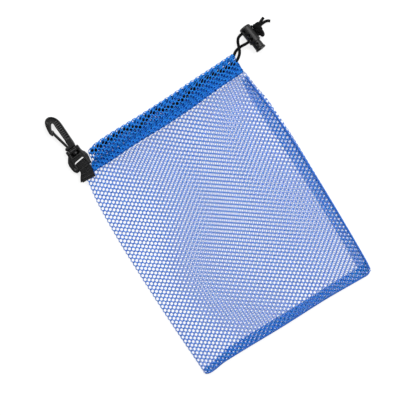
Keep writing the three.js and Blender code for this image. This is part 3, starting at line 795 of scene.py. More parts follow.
@dataclass
class Hem:
    """The turned-over hem round the mouth, a net channel for the drawcord, doubled along its lower half.

    Its cloth goes up the outside (face), over the top (fold), down the inside (face and ease), round a
    corner (tuck_turn) and up again between the layers (tuck).
    """

    pouch: Pouch
    knit: Knit = field(default_factory=lambda: Knit(hole_x=1.52, hole_y=1.56, strand=0.33, knuckle=0.36))
    end_half_gap: float = 1.2
    right_end: float = 95.2
    left_end: float = -77.5
    turn_reach: float = 5.0
    turn_length: float = 7.0
    face: float = 21.2
    fold: float = 1.15
    ease: float = 2.3
    tuck_turn: float = 1.2
    tuck: float = 11.5
    tuck_layer: float = 0.42
    layer: float = 0.34
    skew: float = 0.6
    stitch_reach: float = 80.0
    drop: float = 0.25

    def profile(self, s: Array) -> tuple[Array, Array]:
        """The cloth's way up the outside, over the top, down the inside and up again between them.

        Args:
            s: Distance from the stitches along that way.

        Returns:
            The share of the hem's height, and the layer from 0 at the inside to 1 at the outside.
        """
        arc = math.pi * self.fold
        top = self.fold / (self.face + self.fold)
        flat = 1 - top
        below = 2 * self.face + arc + self.ease
        outer = np.clip(s / self.face, 0, 1) * flat
        over = np.clip((s - self.face) / arc, 0, 1)
        inner = np.clip((s - self.face - arc) / (self.face + self.ease), 0, 1)
        tucked = np.clip((s - below - self.tuck_turn) / self.tuck, 0, 1)
        corner = np.clip((s - below) / self.tuck_turn, 0, 1)
        share = outer + top * np.sin(math.pi * over)
        share = np.where(s > self.face + arc, flat * (1 - inner) + 0.02, share)
        share = np.where(s > below, 0.02 + tucked * self.tuck / (self.face + self.fold), share)
        layer = np.where(s <= self.face + arc, 0.5 + 0.5 * np.cos(math.pi * over), 0)
        layer = np.where(s > below, self.tuck_layer * corner, layer)
        return share, layer

    def surface(self, u: Array, s: Array) -> Array:
        """The hem's cloth, wrapped round the left end.

        Args:
            u: Distance round the left end, positive on the front.
            s: Distance from the stitches, as in profile.

        Returns:
            Points in plan millimetres.
        """
        share, layer = self.profile(s)
        slide = np.where(u < 0, 0.5 + self.knit.half_x / 2 * smoothstep(-u, 0, 12), 0)
        u = u + self.skew * np.sin(u / 47) * (1 - layer) + slide
        angle = math.pi / 2 * (1 - np.clip(u / self.turn_length, -1, 1))
        way = np.clip((np.abs(u) - self.turn_length) / (self.right_end + self.stitch_reach), 0, 1)
        nominal = lerp(self.left_end - self.turn_reach * np.sin(angle), self.right_end, way)
        low, high = lookup(HEM_STITCH, nominal), lookup(HEM_TOP, nominal)
        y = lerp(low, high, share) - self.drop
        half = np.interp(share, HEM_PROFILE[:, 0], HEM_PROFILE[:, 1])
        depth = 2 * half
        end = lookup(HEM_LEFT_END, y) + self.end_half_gap + depth
        x = end + np.maximum(np.abs(u) - self.turn_length, 0)
        gap = lookup(MOUTH_GAP, x)
        rise = lerp(depth, self.pouch.casing_depth, self.pouch.flattening(x))
        middle = gap / 2 + rise
        reach = gap / 2 + lerp(self.layer, depth - self.layer, layer)
        return stack(x - reach * np.sin(angle), y, middle + reach * np.cos(angle))

    def net(self) -> MeshData:
        """The whole hem as strands round holes.

        Returns:
            The closed mesh.
        """
        length = 2 * self.face + math.pi * self.fold + self.ease + self.tuck_turn + self.tuck

        def keep(u: Array, s: Array) -> Array:
            """Whether a hole lies on the hem."""
            place = self.surface(u, s)
            return (place[..., 0] < self.right_end + 0.6) & (s > -1.0) & (s < length)

        def trim(points: Array) -> Array:
            """Points held above the stitches and left of the hem's right end."""
            x, y, z = points.T
            low = lookup(HEM_STITCH, np.clip(x, self.left_end, self.right_end)) - 0.35
            return stack(np.minimum(x, self.right_end - 0.2), np.maximum(y, low), z)

        reach = self.right_end + 100
        cells = self.knit.cells((-reach, -2.0), (reach, length + 2), keep)
        return self.knit.sheet(cells, self.surface, 0.9, trim)


Colour = tuple[float, float, float]


class Graph:
    """The nodes of one procedural material, built step by step round its principled shader."""

    def __init__(self, name: str) -> None:
        """Starts a material.

        Args:
            name: The material's name.
        """
        self.material = bpy.data.materials.new(name)
        self.material.use_nodes = True
        self.tree = self.material.node_tree
        self.shader = self.tree.nodes["Principled BSDF"]

    def node(self, kind: str, inputs: dict | None = None, **settings: object) -> bpy.types.Node:
        """Adds a node.

        Args:
            kind: The node's type.
            inputs: Values or sockets for its inputs, by name or number.
            settings: Values for its properties.

        Returns:
            The node.
        """
        made = self.tree.nodes.new(kind)
        for key, value in settings.items():
            setattr(made, key, value)
        for key, value in (inputs or {}).items():
            self.feed(made.inputs[key], value)
        return made

    def feed(self, socket: bpy.types.NodeSocket, value: object) -> None:
        """Links a socket to another, or gives it a value.

        Args:
            socket: The input.
            value: Another node's output, or a plain value.
        """
        if isinstance(value, bpy.types.NodeSocket):
            self.tree.links.new(value, socket)
        else:
            socket.default_value = value

    def math(self, operation: str, *values: object) -> bpy.types.NodeSocket:
        """The result of one arithmetic step."""
        return self.node("ShaderNodeMath", dict(enumerate(values)), operation=operation).outputs[0]

    def place(self) -> bpy.types.NodeSocket:
        """The place on the object, in metres."""
        return self.node("ShaderNodeTexCoord").outputs["Object"]

    def fabric(self) -> tuple[bpy.types.NodeSocket, bpy.types.NodeSocket, bpy.types.NodeSocket]:
        """The piece's own UV map as a vector, and its two parts.

        Returns:
            The vector, and each of its parts.
        """
        uv = self.node("ShaderNodeUVMap", uv_map="fabric").outputs[0]
        parts = self.node("ShaderNodeSeparateXYZ", {0: uv})
        return uv, parts.outputs[0], parts.outputs[1]

    def scaled(self, vector: bpy.types.NodeSocket, scale: Colour) -> bpy.types.NodeSocket:
        """A vector with each of its parts multiplied."""
        return self.node("ShaderNodeMapping", {"Vector": vector, "Scale": scale}).outputs[0]

    def noise(self, vector: bpy.types.NodeSocket, scale: float, detail: float = 3.0) -> bpy.types.NodeSocket:
        """Cloudy variation from 0 to 1."""
        found = self.node("ShaderNodeTexNoise", {"Vector": vector, "Scale": scale, "Detail": detail})
        return found.outputs["Fac"]

    def ramp(self, value: bpy.types.NodeSocket,
             stops: Sequence[tuple[float, Colour]]) -> bpy.types.NodeSocket:
        """Colours along a value.

        Args:
            value: What the colours follow.
            stops: Positions and their colours, in order.

        Returns:
            The colour socket.
        """
        made = self.node("ShaderNodeValToRGB", {0: value})
        elements = made.color_ramp.elements
        while len(elements) < len(stops):
            elements.new(0.5)
        for element, (position, colour) in zip(elements, stops):
            element.position = position
            element.color = (*colour, 1)
        return made.outputs[0]

    def bump(self, height: bpy.types.NodeSocket, distance: float, strength: float = 1.0) -> None:
        """Raises the surface by a height from 0 to 1, times a distance in metres."""
        made = self.node("ShaderNodeBump", {"Height": height, "Distance": distance, "Strength": strength})
        self.tree.links.new(made.outputs[0], self.shader.inputs["Normal"])

    def constant(self, **values: object) -> None:
        """Sets the shader's own sockets, with underscores for the spaces in their names."""
        for key, value in values.items():
            self.shader.inputs[key.replace("_", " ")].default_value = value


@dataclass(frozen=True)
class KnitYarn:
    """Blue polyester yarn, knitted in small loops, with slightly uneven dye, painted shade in the hollows of
    its loops and filaments, and a soft sheen.
    """

    name: str = "knit_yarn"
    light: Colour = (0.020, 0.34, 0.92)
    middle: Colour = (0.008, 0.212, 0.80)
    dark: Colour = (0.003, 0.104, 0.52)
    loop: float = 0.62
    relief: float = 0.00007
    sheen: float = 0.06
    glow: float = 0.35
    cover: float = 1.0

    def build(self) -> bpy.types.Material:
        """Chevrons of loops along the fabric, filaments across them, clouds in the colour, and painted shade
        where the loops and filaments lie low.

        Returns:
            The material.
        """
        g = Graph(self.name)
        uv, a, b = g.fabric()
        slope = g.math("PINGPONG", a, self.loop / 2)
        phase = g.math("MULTIPLY", g.math("ADD", b, slope), 2 * math.pi / self.loop)
        loops = g.math("MULTIPLY_ADD", g.math("SINE", phase), 0.5, 0.5)
        filaments = g.noise(g.scaled(uv, (9.0, 2.6, 1.0)), 1.0, 2.0)
        clouds = g.noise(g.place(), 55.0, 4.0)
        mottle = g.noise(uv, 0.9, 2.0)
        # Painted shade: the base colour is darker where the loops and filaments lie low in the bump, as shade
        # in their hollows; the clouds and mottle are uneven dye.
        shade = g.math("MULTIPLY_ADD", loops, 0.30, g.math("MULTIPLY", filaments, 0.38))
        shade = g.math("ADD", shade, g.math("MULTIPLY", g.math("ADD", clouds, mottle), 0.20))
        g.feed(g.shader.inputs["Base Color"], g.ramp(shade, [
            (0.18, self.dark), (0.52, self.middle), (0.88, self.light),
        ]))
        g.feed(g.shader.inputs["Roughness"], g.math("MULTIPLY_ADD", filaments, 0.22, 0.42))
        g.bump(g.math("MULTIPLY_ADD", loops, 0.7, g.math("MULTIPLY", filaments, 0.5)), self.relief)
        g.constant(Sheen_Weight=self.sheen, Sheen_Roughness=0.45, Subsurface_Weight=self.glow,
                   Subsurface_Radius=(0.5, 0.8, 1.0), Subsurface_Scale=0.0012, IOR=1.45,
                   Specular_IOR_Level=0.25, Alpha=self.cover)
        return g.material


@dataclass(frozen=True)
class SewingThread:
    """Twisted sewing thread of one colour."""

    name: str
    light: Colour
    dark: Colour
    relief: float = 0.00003

    def build(self) -> bpy.types.Material:
        """Slanting plies along the thread, a little unevenness, and painted shade in the grooves between the
        plies.

        Returns:
            The material.
        """
        g = Graph(self.name)
        uv, turn, run = g.fabric()
        slant = g.math("MULTIPLY", g.math("ADD", turn, run), 4 * math.pi)
        plies = g.math("MULTIPLY_ADD", g.math("SINE", slant), 0.5, 0.5)
        fuzz = g.noise(g.scaled(uv, (6.0, 3.0, 1.0)), 1.0, 2.0)
        # Painted shade: the height that the bump uses also darkens the colour between the plies, as shade in
        # the grooves.
        shade = g.math("MULTIPLY_ADD", plies, 0.6, g.math("MULTIPLY", fuzz, 0.4))
        g.feed(g.shader.inputs["Base Color"], g.ramp(shade, [(0.1, self.dark), (0.9, self.light)]))
        g.feed(g.shader.inputs["Roughness"], g.math("MULTIPLY_ADD", fuzz, 0.2, 0.45))
        g.bump(shade, self.relief)
        g.constant(Sheen_Weight=0.2, Sheen_Roughness=0.5)
        return g.material


@dataclass(frozen=True)
class BraidedSheath:
    """Black braided polyester cord: two sets of flat strands that cross on the slant."""

    name: str = "braided_sheath"
    strands: int = 8
    pitch: float = 6.4
    light: Colour = (0.007, 0.007, 0.0075)
    dark: Colour = (0.001, 0.001, 0.001)
    relief: float = 0.00006

    def build(self) -> bpy.types.Material:
        """Crossing slants from the turn and the distance, with filaments along each, and painted shade where
        they lie low.

        Returns:
            The material.
        """
        g = Graph(self.name)
        uv, turn, run = g.fabric()
        around = g.math("MULTIPLY", turn, math.pi * self.strands)
        along = g.math("MULTIPLY", run, math.pi * self.strands / (2 * self.pitch))
        one = g.math("ABSOLUTE", g.math("SINE", g.math("ADD", around, along)))
        two = g.math("ABSOLUTE", g.math("SINE", g.math("SUBTRACT", around, along)))
        plaits = g.math("SQRT", g.math("MULTIPLY", one, two))
        filaments = g.noise(g.scaled(uv, (40.0, 3.0, 1.0)), 1.0, 3.0)
        # Painted shade: the colour is darker where the plaits and filaments lie low, as shade in the braid's
        # grooves.
        shade = g.math("MULTIPLY_ADD", plaits, 0.65, g.math("MULTIPLY", filaments, 0.35))
        g.feed(g.shader.inputs["Base Color"], g.ramp(shade, [(0.15, self.dark), (0.9, self.light)]))
        g.feed(g.shader.inputs["Roughness"], g.math("MULTIPLY_ADD", filaments, 0.25, 0.45))
        g.bump(g.math("MULTIPLY_ADD", filaments, 0.5, plaits), self.relief)
        g.constant(Sheen_Weight=0.004, Sheen_Roughness=0.4, Specular_IOR_Level=0.08)
        return g.material


@dataclass(frozen=True)
class WovenWebbing:
    """Black polypropylene webbing: ribs of warp that the weft crosses in a basket weave."""

    name: str = "woven_webbing"
    rib: float = 1.25
    pick: float = 0.95
    light: Colour = (0.014, 0.014, 0.015)
    dark: Colour = (0.001, 0.001, 0.001)
    relief: float = 0.00012

    def build(self) -> bpy.types.Material:
        """The weave's own height from the fabric coordinates, filaments along the warp, and painted shade
        where they lie low.

        Returns:
            The material.
        """
        g = Graph(self.name)
        uv, across, along = g.fabric()
        warp = g.math("SINE", g.math("MULTIPLY", across, 2 * math.pi / self.rib))
        weft = g.math("COSINE", g.math("MULTIPLY", along, 2 * math.pi / self.pick))
        weave = g.math("MULTIPLY_ADD", g.math("MULTIPLY", warp, weft), 0.5, 0.5)
        filaments = g.noise(g.scaled(uv, (16.0, 2.0, 1.0)), 1.0, 3.0)
        # Painted shade: the colour is darker where the weave and filaments lie low, as shade in the hollows
        # of the weave.
        shade = g.math("MULTIPLY_ADD", weave, 0.6, g.math("MULTIPLY", filaments, 0.4))
        g.feed(g.shader.inputs["Base Color"], g.ramp(shade, [(0.2, self.dark), (0.85, self.light)]))
        g.feed(g.shader.inputs["Roughness"], g.math("MULTIPLY_ADD", filaments, 0.25, 0.38))
        g.bump(g.math("MULTIPLY_ADD", filaments, 0.35, weave), self.relief)
        g.constant(Sheen_Weight=0.01, Specular_IOR_Level=0.18)
        return g.material


@dataclass(frozen=True)
class MouldedPlastic:
    """Black injection-moulded acetal: satin, finely grained, a little paler and glossier where it rubs, with
    a painted highlight on the edges that stick out.
    """

    name: str = "moulded_plastic"
    body: Colour = (0.005, 0.005, 0.0053)
    # Colour of worn places, and of the painted highlight on the edges that stick out
    rubbed_and_highlit: Colour = (0.075, 0.075, 0.077)
    grain: float = 0.00002

    def build(self) -> bpy.types.Material:
        """Fine grain and clouds by place, and wear mixed with a painted highlight on the edges that stick
        out.

        Returns:
            The material.
        """
        g = Graph(self.name)
        place = g.place()
        grain = g.noise(place, 2600.0, 2.0)
        clouds = g.noise(place, 130.0, 4.0)
        scuffs = g.noise(g.scaled(place, (1500.0, 240.0, 500.0)), 1.0, 3.0)
        # Painted highlight: pointiness makes the edges that stick out paler, partly as wear and partly
        # standing in for light catching them; clouds and scuffs add wear at random.
        edge = g.node("ShaderNodeNewGeometry").outputs["Pointiness"]
        wear_and_highlight = g.math("MULTIPLY", g.math("SUBTRACT", edge, 0.507), 11.0)
        wear_and_highlight = g.math("MULTIPLY_ADD", wear_and_highlight, g.math("MULTIPLY_ADD", clouds, 0.9, 0.2), g.math(
            "MULTIPLY", g.math("SUBTRACT", scuffs, 0.62), 0.8))
        wear_and_highlight = g.node("ShaderNodeClamp", {0: wear_and_highlight}).outputs[0]
        g.feed(g.shader.inputs["Base Color"], g.ramp(wear_and_highlight, [(0.0, self.body), (1.0, self.rubbed_and_highlit)]))
        rough = g.math("MULTIPLY_ADD", clouds, 0.18, 0.33)
        g.feed(g.shader.inputs["Roughness"], g.math("MULTIPLY_ADD", wear_and_highlight, -0.08, rough))
        g.bump(g.math("MULTIPLY_ADD", scuffs, 0.4, grain), self.grain, 0.7)
        g.constant(IOR=1.47, Specular_IOR_Level=0.42)
        return g.material


@dataclass(frozen=True)
class Studio:
    """A pale floor lit from below and above, soft lights, and a camera straight over the bag."""

    view_centre: tuple[float, float] = (-5.8, 17.5)
    roll: float = 31.0
    width: float = 416.0
    lens: float = 150.0
    floor_glow: float = 0.80
    sky: float = 0.11
    key_place: tuple[float, float, float] = (-0.35, 1.25, 1.2)
    key_size: float = 0.7
    key_power: float = 13.0
    window_place: tuple[float, float, float] = (1.5, 0.25, 1.8)
    window_size: float = 2.0
    window_power: float = 54.0

    def camera(self) -> None:
        """Makes the camera, which looks straight down and is rolled so that the bag leans to the left."""
        data = bpy.data.cameras.new("camera")
        data.lens = self.lens
        camera = bpy.data.objects.new("camera", data)
        bpy.context.scene.collection.objects.link(camera)
        away = self.width * self.lens / data.sensor_width
        x, y = self.view_centre[0] - PLAN_CENTRE[0], self.view_centre[1] - PLAN_CENTRE[1]
        camera.location = (x * MM, y * MM, (away + 6.0) * MM)
        camera.rotation_euler = (0, 0, math.radians(-self.roll))
        data.clip_start, data.clip_end = 0.05, 20
        bpy.context.scene.camera = camera

    def floor(self) -> None:
        """Makes the white floor, which glows a little so that it stays white under the net."""
        mesh = bpy.data.meshes.new("floor")
        mesh.from_pydata([(-3, -3, 0), (3, -3, 0), (3, 3, 0), (-3, 3, 0)], [], [(0, 1, 2, 3)])
        obj = bpy.data.objects.new("floor", mesh)
        bpy.context.scene.collection.objects.link(obj)
        material = bpy.data.materials.new("white_floor")
        material.use_nodes = True
        shader = material.node_tree.nodes["Principled BSDF"]
        shader.inputs["Base Color"].default_value = (0.3, 0.3, 0.3, 1)
        shader.inputs["Roughness"].default_value = 0.9
        shader.inputs["Specular IOR Level"].default_value = 0.1
        shader.inputs["Emission Color"].default_value = (1, 1, 1, 1)
        shader.inputs["Emission Strength"].default_value = self.floor_glow
        mesh.materials.append(material)

    def light(self, name: str, place: tuple[float, float, float], size: float, power: float) -> None:
        """Makes one soft light that looks at the bag.

        Args:
            name: The light's name.
            place: Where it stands, in metres.
            size: The side of its square, in metres.
            power: Its power in watts.
        """
        data = bpy.data.lights.new(name, "AREA")
        data.size = size
        data.energy = power
        obj = bpy.data.objects.new(name, data)
        bpy.context.scene.collection.objects.link(obj)
        obj.location = place
        obj.rotation_euler = (-Vector(place)).to_track_quat("-Z", "Y").to_euler()

    def build(self) -> None:
        """Makes the floor, the lights, the world's light and the camera."""
        scene = bpy.context.scene
        world = bpy.data.worlds.new("studio")
        scene.world = world
        world.use_nodes = True
        world.node_tree.nodes["Background"].inputs["Color"].default_value = (1, 1, 1, 1)
        world.node_tree.nodes["Background"].inputs["Strength"].default_value = self.sky
        scene.view_settings.view_transform = "Standard"
        self.floor()
        self.light("key", self.key_place, self.key_size, self.key_power)
        self.light("window", self.window_place, self.window_size, self.window_power)
        self.camera()


@dataclass
class Stitching:
    """Rows of thread: each stitch is a short fat thread with round ends, sunk a little at both."""

    thread: float = 0.24
    length: float = 2.3
    pitch: float = 2.9
    around: int = 6
    # Share of the stitch's length, share of its thickness there, and height over the cloth
    section: tuple[tuple[float, float, float], ...] = (
        (0, 0.35, -0.25), (0.12, 0.9, 0.12), (0.5, 1.0, 0.22), (0.88, 0.9, 0.12), (1.0, 0.35, -0.25),
    )

    def row(self, path: Array, up: Array, zigzag: float = 0.0) -> MeshData:
        """Stitches along a path.

        Args:
            path: Points along the row, evenly spaced and closer than a stitch.
            up: The direction out of the cloth at each point.
            zigzag: How far the stitches swing to each side of the path.

        Returns:
            All the stitches as one mesh.
        """
        run = distances(path)
        count = int(run[-1] / self.pitch)
        starts = np.arange(count) * self.pitch
        ends = starts + self.length
        a, b = spread(path, run, starts), spread(path, run, ends)
        out = spread(up, run, (starts + ends) / 2)
        out /= np.linalg.norm(out, axis=1)[:, None]
        way = (b - a) / np.linalg.norm(b - a, axis=1)[:, None]
        across = np.cross(out, way)
        swing = zigzag * np.where(np.arange(count) % 2 == 0, 1, -1)[:, None]
        a, b = a - across * swing, b + across * swing
        way = (b - a) / np.linalg.norm(b - a, axis=1)[:, None]
        across = np.cross(out, way)
        share, width, rise = np.array(self.section).T
        width = width * self.thread
        angle = np.linspace(0, 2 * math.pi, self.around, endpoint=False)
        middle = a[:, None] + (b - a)[:, None] * share[None, :, None] + out[:, None] * rise[None, :, None]
        ring = (
            across[:, None, None] * np.cos(angle)[None, None, :, None]
            + out[:, None, None] * np.sin(angle)[None, None, :, None]
        )
        points = middle[:, :, None] + ring * width[None, :, None, None]
        rings, n = len(share), self.around
        one = grid_faces(rings, n, True)
        cap = np.array([[0, k + 1, k] for k in range(1, n - 1)])
        far = np.array([[0, k, k + 1] for k in range(1, n - 1)]) + (rings - 1) * n
        base = (np.arange(count) * rings * n)[:, None, None]
        faces = [(one[None] + base).reshape(-1, 4), (np.vstack([cap, far])[None] + base).reshape(-1, 3)]
        one_uv = np.stack(np.meshgrid(angle / (2 * math.pi), share * self.length), -1).reshape(-1, 2)
        return MeshData(points.reshape(-1, 3), faces, np.tile(one_uv, (count, 1)))


@dataclass(frozen=True)
class TwistRelief:
    """Surface of a twisted thread: its plies wind round it as long ridges."""

    ply: int = 3
    pitch: float = 2.1
    height: float = 0.16
    level: float = 0.6

    def __call__(self, theta: Array, distance: Array) -> Array:
        """The size of a cosine that turns with the distance, less its mean level."""
        wave = np.abs(np.cos(self.ply * theta / 2 - math.pi * distance / self.pitch))
        return self.height * (wave - self.level)


@dataclass(frozen=True)
class PressedRelief:
    """A braided cord pressed flat in the hem: its plaits, and an oval section that is wider than high."""

    wider: float = 0.45
    lower: float = 0.1
    braid: BraidRelief = field(default_factory=BraidRelief)

    def __call__(self, theta: Array, distance: Array) -> Array:
        """The plaits plus a square of a sine sideways, less a square of a cosine up and down."""
        oval = self.wider * np.sin(theta) ** 2 - self.lower * np.cos(theta) ** 2
        return self.braid(theta, distance) + oval


@dataclass
class PouchStitching:
    """The sewn lines of the bag, on its front and its back."""

    pouch: Pouch
    hem: Hem
    stitches: Stitching = field(default_factory=Stitching)
    overlock: Stitching = field(default_factory=lambda: Stitching(thread=0.30, length=1.3, pitch=0.9))
    above_hem_edge: float = 1.7
    chain: float = 0.42
    edge_thread: float = 0.46
    lift: float = 0.42
    overlock_lift: float = 0.36
    relief: TwistRelief = field(default_factory=TwistRelief)

    def on_net(self, plan: Array, side: float, lift: float) -> tuple[Array, Array]:
        """Points of a plan line on the outside of the net, and the way out of the cloth.

        Args:
            plan: The line's places.
            side: 1 for the front, -1 for the back, 0 for the edge between.
            lift: How far outside the net's middle surface.

        Returns:
            The points, and a direction for each.
        """
        place = self.pouch.point(plan[:, 0], plan[:, 1], side)
        up = np.tile([0.0, 0.0, side], (len(plan), 1))
        return place + up * lift, up

    def side_line(self) -> Array:
        """The right seam's line in plan."""
        y = np.linspace(-118.5, 110, 460)
        return np.stack([self.pouch.stitch_x(y), y], 1)

    def bottom_line(self, inwards: float) -> Array:
        """A line in plan that follows the bottom edge at a distance inside it."""
        x = np.linspace(-93.5, 100.6, 400)
        return np.stack([x, lookup(BOTTOM_EDGE, x) + inwards], 1)

    def hem_line(self, front: bool) -> tuple[Array, Array]:
        """The line that holds the hem down, on its front or its back, and the way out of the cloth.

        Args:
            front: Which of the two.

        Returns:
            The points, and a direction for each.
        """
        u = np.linspace(11, 182, 172) * (1 if front else -1)
        place = self.hem.surface(u, np.full_like(u, self.above_hem_edge))
        side = 1.0 if front else -1.0
        up = np.tile([0.0, 0.0, side], (len(u), 1))
        keep = place[:, 0] < self.hem.right_end - 1
        return place[keep] + up[keep] * self.lift, up[keep]

    def mesh(self) -> MeshData:
        """Every row of stitches and thread as one mesh.

        Returns:
            The mesh, with nothing under the floor.
        """
        edge, _ = self.on_net(self.bottom_line(0.1), 0.0, 0.0)
        rows = [tube(edge, self.edge_thread, 8, self.relief)]
        for side in (1.0, -1.0):
            seam, _ = self.on_net(self.side_line(), side, self.lift)
            below, below_up = self.on_net(self.bottom_line(0.9), side, self.lift)
            beside, beside_up = self.on_net(self.side_line() - [0.7, 0], side, self.overlock_lift)
            rows.append(tube(seam, self.chain, 8, self.relief))
            rows.append(self.overlock.row(below, below_up, 0.6))
            rows.append(self.overlock.row(beside, beside_up, 1.0))
            rows.append(self.stitches.row(*self.hem_line(side > 0)))
        thread = join(rows)
        thread.points[:, 2] = np.maximum(thread.points[:, 2], LOWEST)
        return thread


@dataclass
class Drawcord:
    """The round braided cord: its way through the hem, its two free stretches and its stopper knot."""

    pouch: Pouch
    radius: float = 1.5
    around: int = 32
    step: float = 0.32
    end_half_gap: float = 1.2
    turn_slack: float = 0.06
    turn_y: tuple[float, float] = (125.2, 125.9)
    turn_end: float = -78.7
    relief: BraidRelief = field(default_factory=BraidRelief)

    def hem_path(self) -> Array:
        """The route along the hem's front, round the left end and back, as in the CAD source.

        Returns:
            Points along the cord's middle.
        """
        depth = self.pouch.casing_depth
        level = depth / 2
        front = [(x, y, depth + float(lookup(MOUTH_GAP, x)) + level) for x, y in FRONT_RUN]
        back = [(x, y, level) for x, y in BACK_RUN]
        reach = self.end_half_gap + level - self.turn_slack
        centre = self.turn_end + self.end_half_gap + depth
        turn = []
        for degrees in range(0, 181, 30):
            angle = math.radians(degrees)
            turn.append((
                centre - reach * math.sin(angle), lerp(*self.turn_y, degrees / 180),
                depth + self.end_half_gap + reach * math.cos(angle),
            ))
        return smooth_path([STRAND_B[0], *front, *turn, *back, STRAND_A[0]], 0.5)

    def in_hem(self) -> MeshData:
        """The cord inside the hem."""
        return tube(self.hem_path(), self.radius, 20, PressedRelief())

    def strand(self, route: Sequence[Sequence[float]]) -> tuple[MeshData, Array]:
        """One free stretch and the line that it follows."""
        path = smooth_path(route, self.step)
        return tube(path, self.radius, self.around, self.relief), path


@dataclass
class StopperKnot:
    """The knot that keeps the cord lock on: turns of cord drawn tight, with two cut tails."""

    cord: Drawcord
    # Each turn's middle, its half sizes across and along, and its tilts about x and y
    turns: tuple[tuple[float, ...], ...] = (
        (130.6, 148.2, 5.7, 3.0, 2.2, 0.5, 0.3),
        (130.0, 145.2, 5.4, 2.4, 3.2, -0.4, 0.35),
        (130.4, 140.3, 4.9, 1.6, 2.9, 0.2, 0.6),
        (127.7, 146.6, 5.9, 1.3, 3.6, 0.1, -0.5),
        (128.6, 142.2, 6.2, 2.2, 2.4, 0.3, -0.3),
    )
    core: tuple[tuple[float, float, float], tuple[float, float, float]] = (
        (130.3, 146.3, 5.4), (3.4, 4.0, 3.4),
    )

    def loop(self, x: float, y: float, z: float, across: float, high: float, tilt_x: float,
             tilt_y: float) -> MeshData:
        """One turn of cord, an oval round its own middle, tilted about x and y.

        Args:
            x: Its middle across the bag.
            y: Its middle up the bag.
            z: Its middle's height.
            across: Its half size across.
            high: Its half size along.
            tilt_x: Its tilt about x.
            tilt_y: Its tilt about y.

        Returns:
            The closed loop.
        """
        angle = np.linspace(0, 2 * math.pi, 56, endpoint=False)
        flat = stack(across * np.cos(angle), high * np.sin(angle), 0 * angle)
        cx, sx, cy, sy = math.cos(tilt_x), math.sin(tilt_x), math.cos(tilt_y), math.sin(tilt_y)
        turn_x = np.array([[1, 0, 0], [0, cx, -sx], [0, sx, cx]])
        turn_y = np.array([[cy, 0, sy], [0, 1, 0], [-sy, 0, cy]])
        path = flat @ (turn_x @ turn_y).T + np.array([x, y, z])
        return tube(path, self.cord.radius, self.cord.around, self.cord.relief, closed=True)

    def heart(self) -> MeshData:
        """The ball of cord inside the turns, an ellipsoid.

        Returns:
            The mesh.
        """
        (x, y, z), (wide, long, high) = self.core
        rows, around, pole = 13, 24, 0.02
        polar = np.linspace(pole, math.pi - pole, rows)
        turn = np.linspace(0, 2 * math.pi, around, endpoint=False)
        p, a = np.meshgrid(polar, turn, indexing="ij")
        points = stack(
            x + wide * np.sin(p) * np.cos(a), y + long * np.sin(p) * np.sin(a), z + high * np.cos(p),
        )
        uv = np.stack([a / (2 * math.pi), p * 3], -1).reshape(-1, 2)
        return MeshData(points.reshape(-1, 3), [grid_faces(rows, around, True)[:, ::-1]], uv)

    def mesh(self) -> MeshData:
        """The knot and its tails."""
        tails = [self.cord.strand(route)[0] for route in (TAIL_A, TAIL_B)]
        return join([*(self.loop(*turn) for turn in self.turns), self.heart(), *tails])


@dataclass(frozen=True)
class FittingFrame:
    """Where the webbing tab and the swivel hook lie: x across, y along the swivel's axis, z up."""

    x: float = -90.5
    y: float = 118.4
    turn: float = math.radians(5)
    axis_height: float = 3.5

    def place(self, points: Array, height: float = 0.0) -> Array:
        """Takes local points to the plan.

        Args:
            points: Local points.
            height: What is added to their z.

        Returns:
            Points in plan millimetres.
        """
        c, s = math.cos(self.turn), math.sin(self.turn)
        x = c * points[..., 0] - s * points[..., 1] + self.x
        y = s * points[..., 0] + c * points[..., 1] + self.y
        return stack(x, y, points[..., 2] + height)


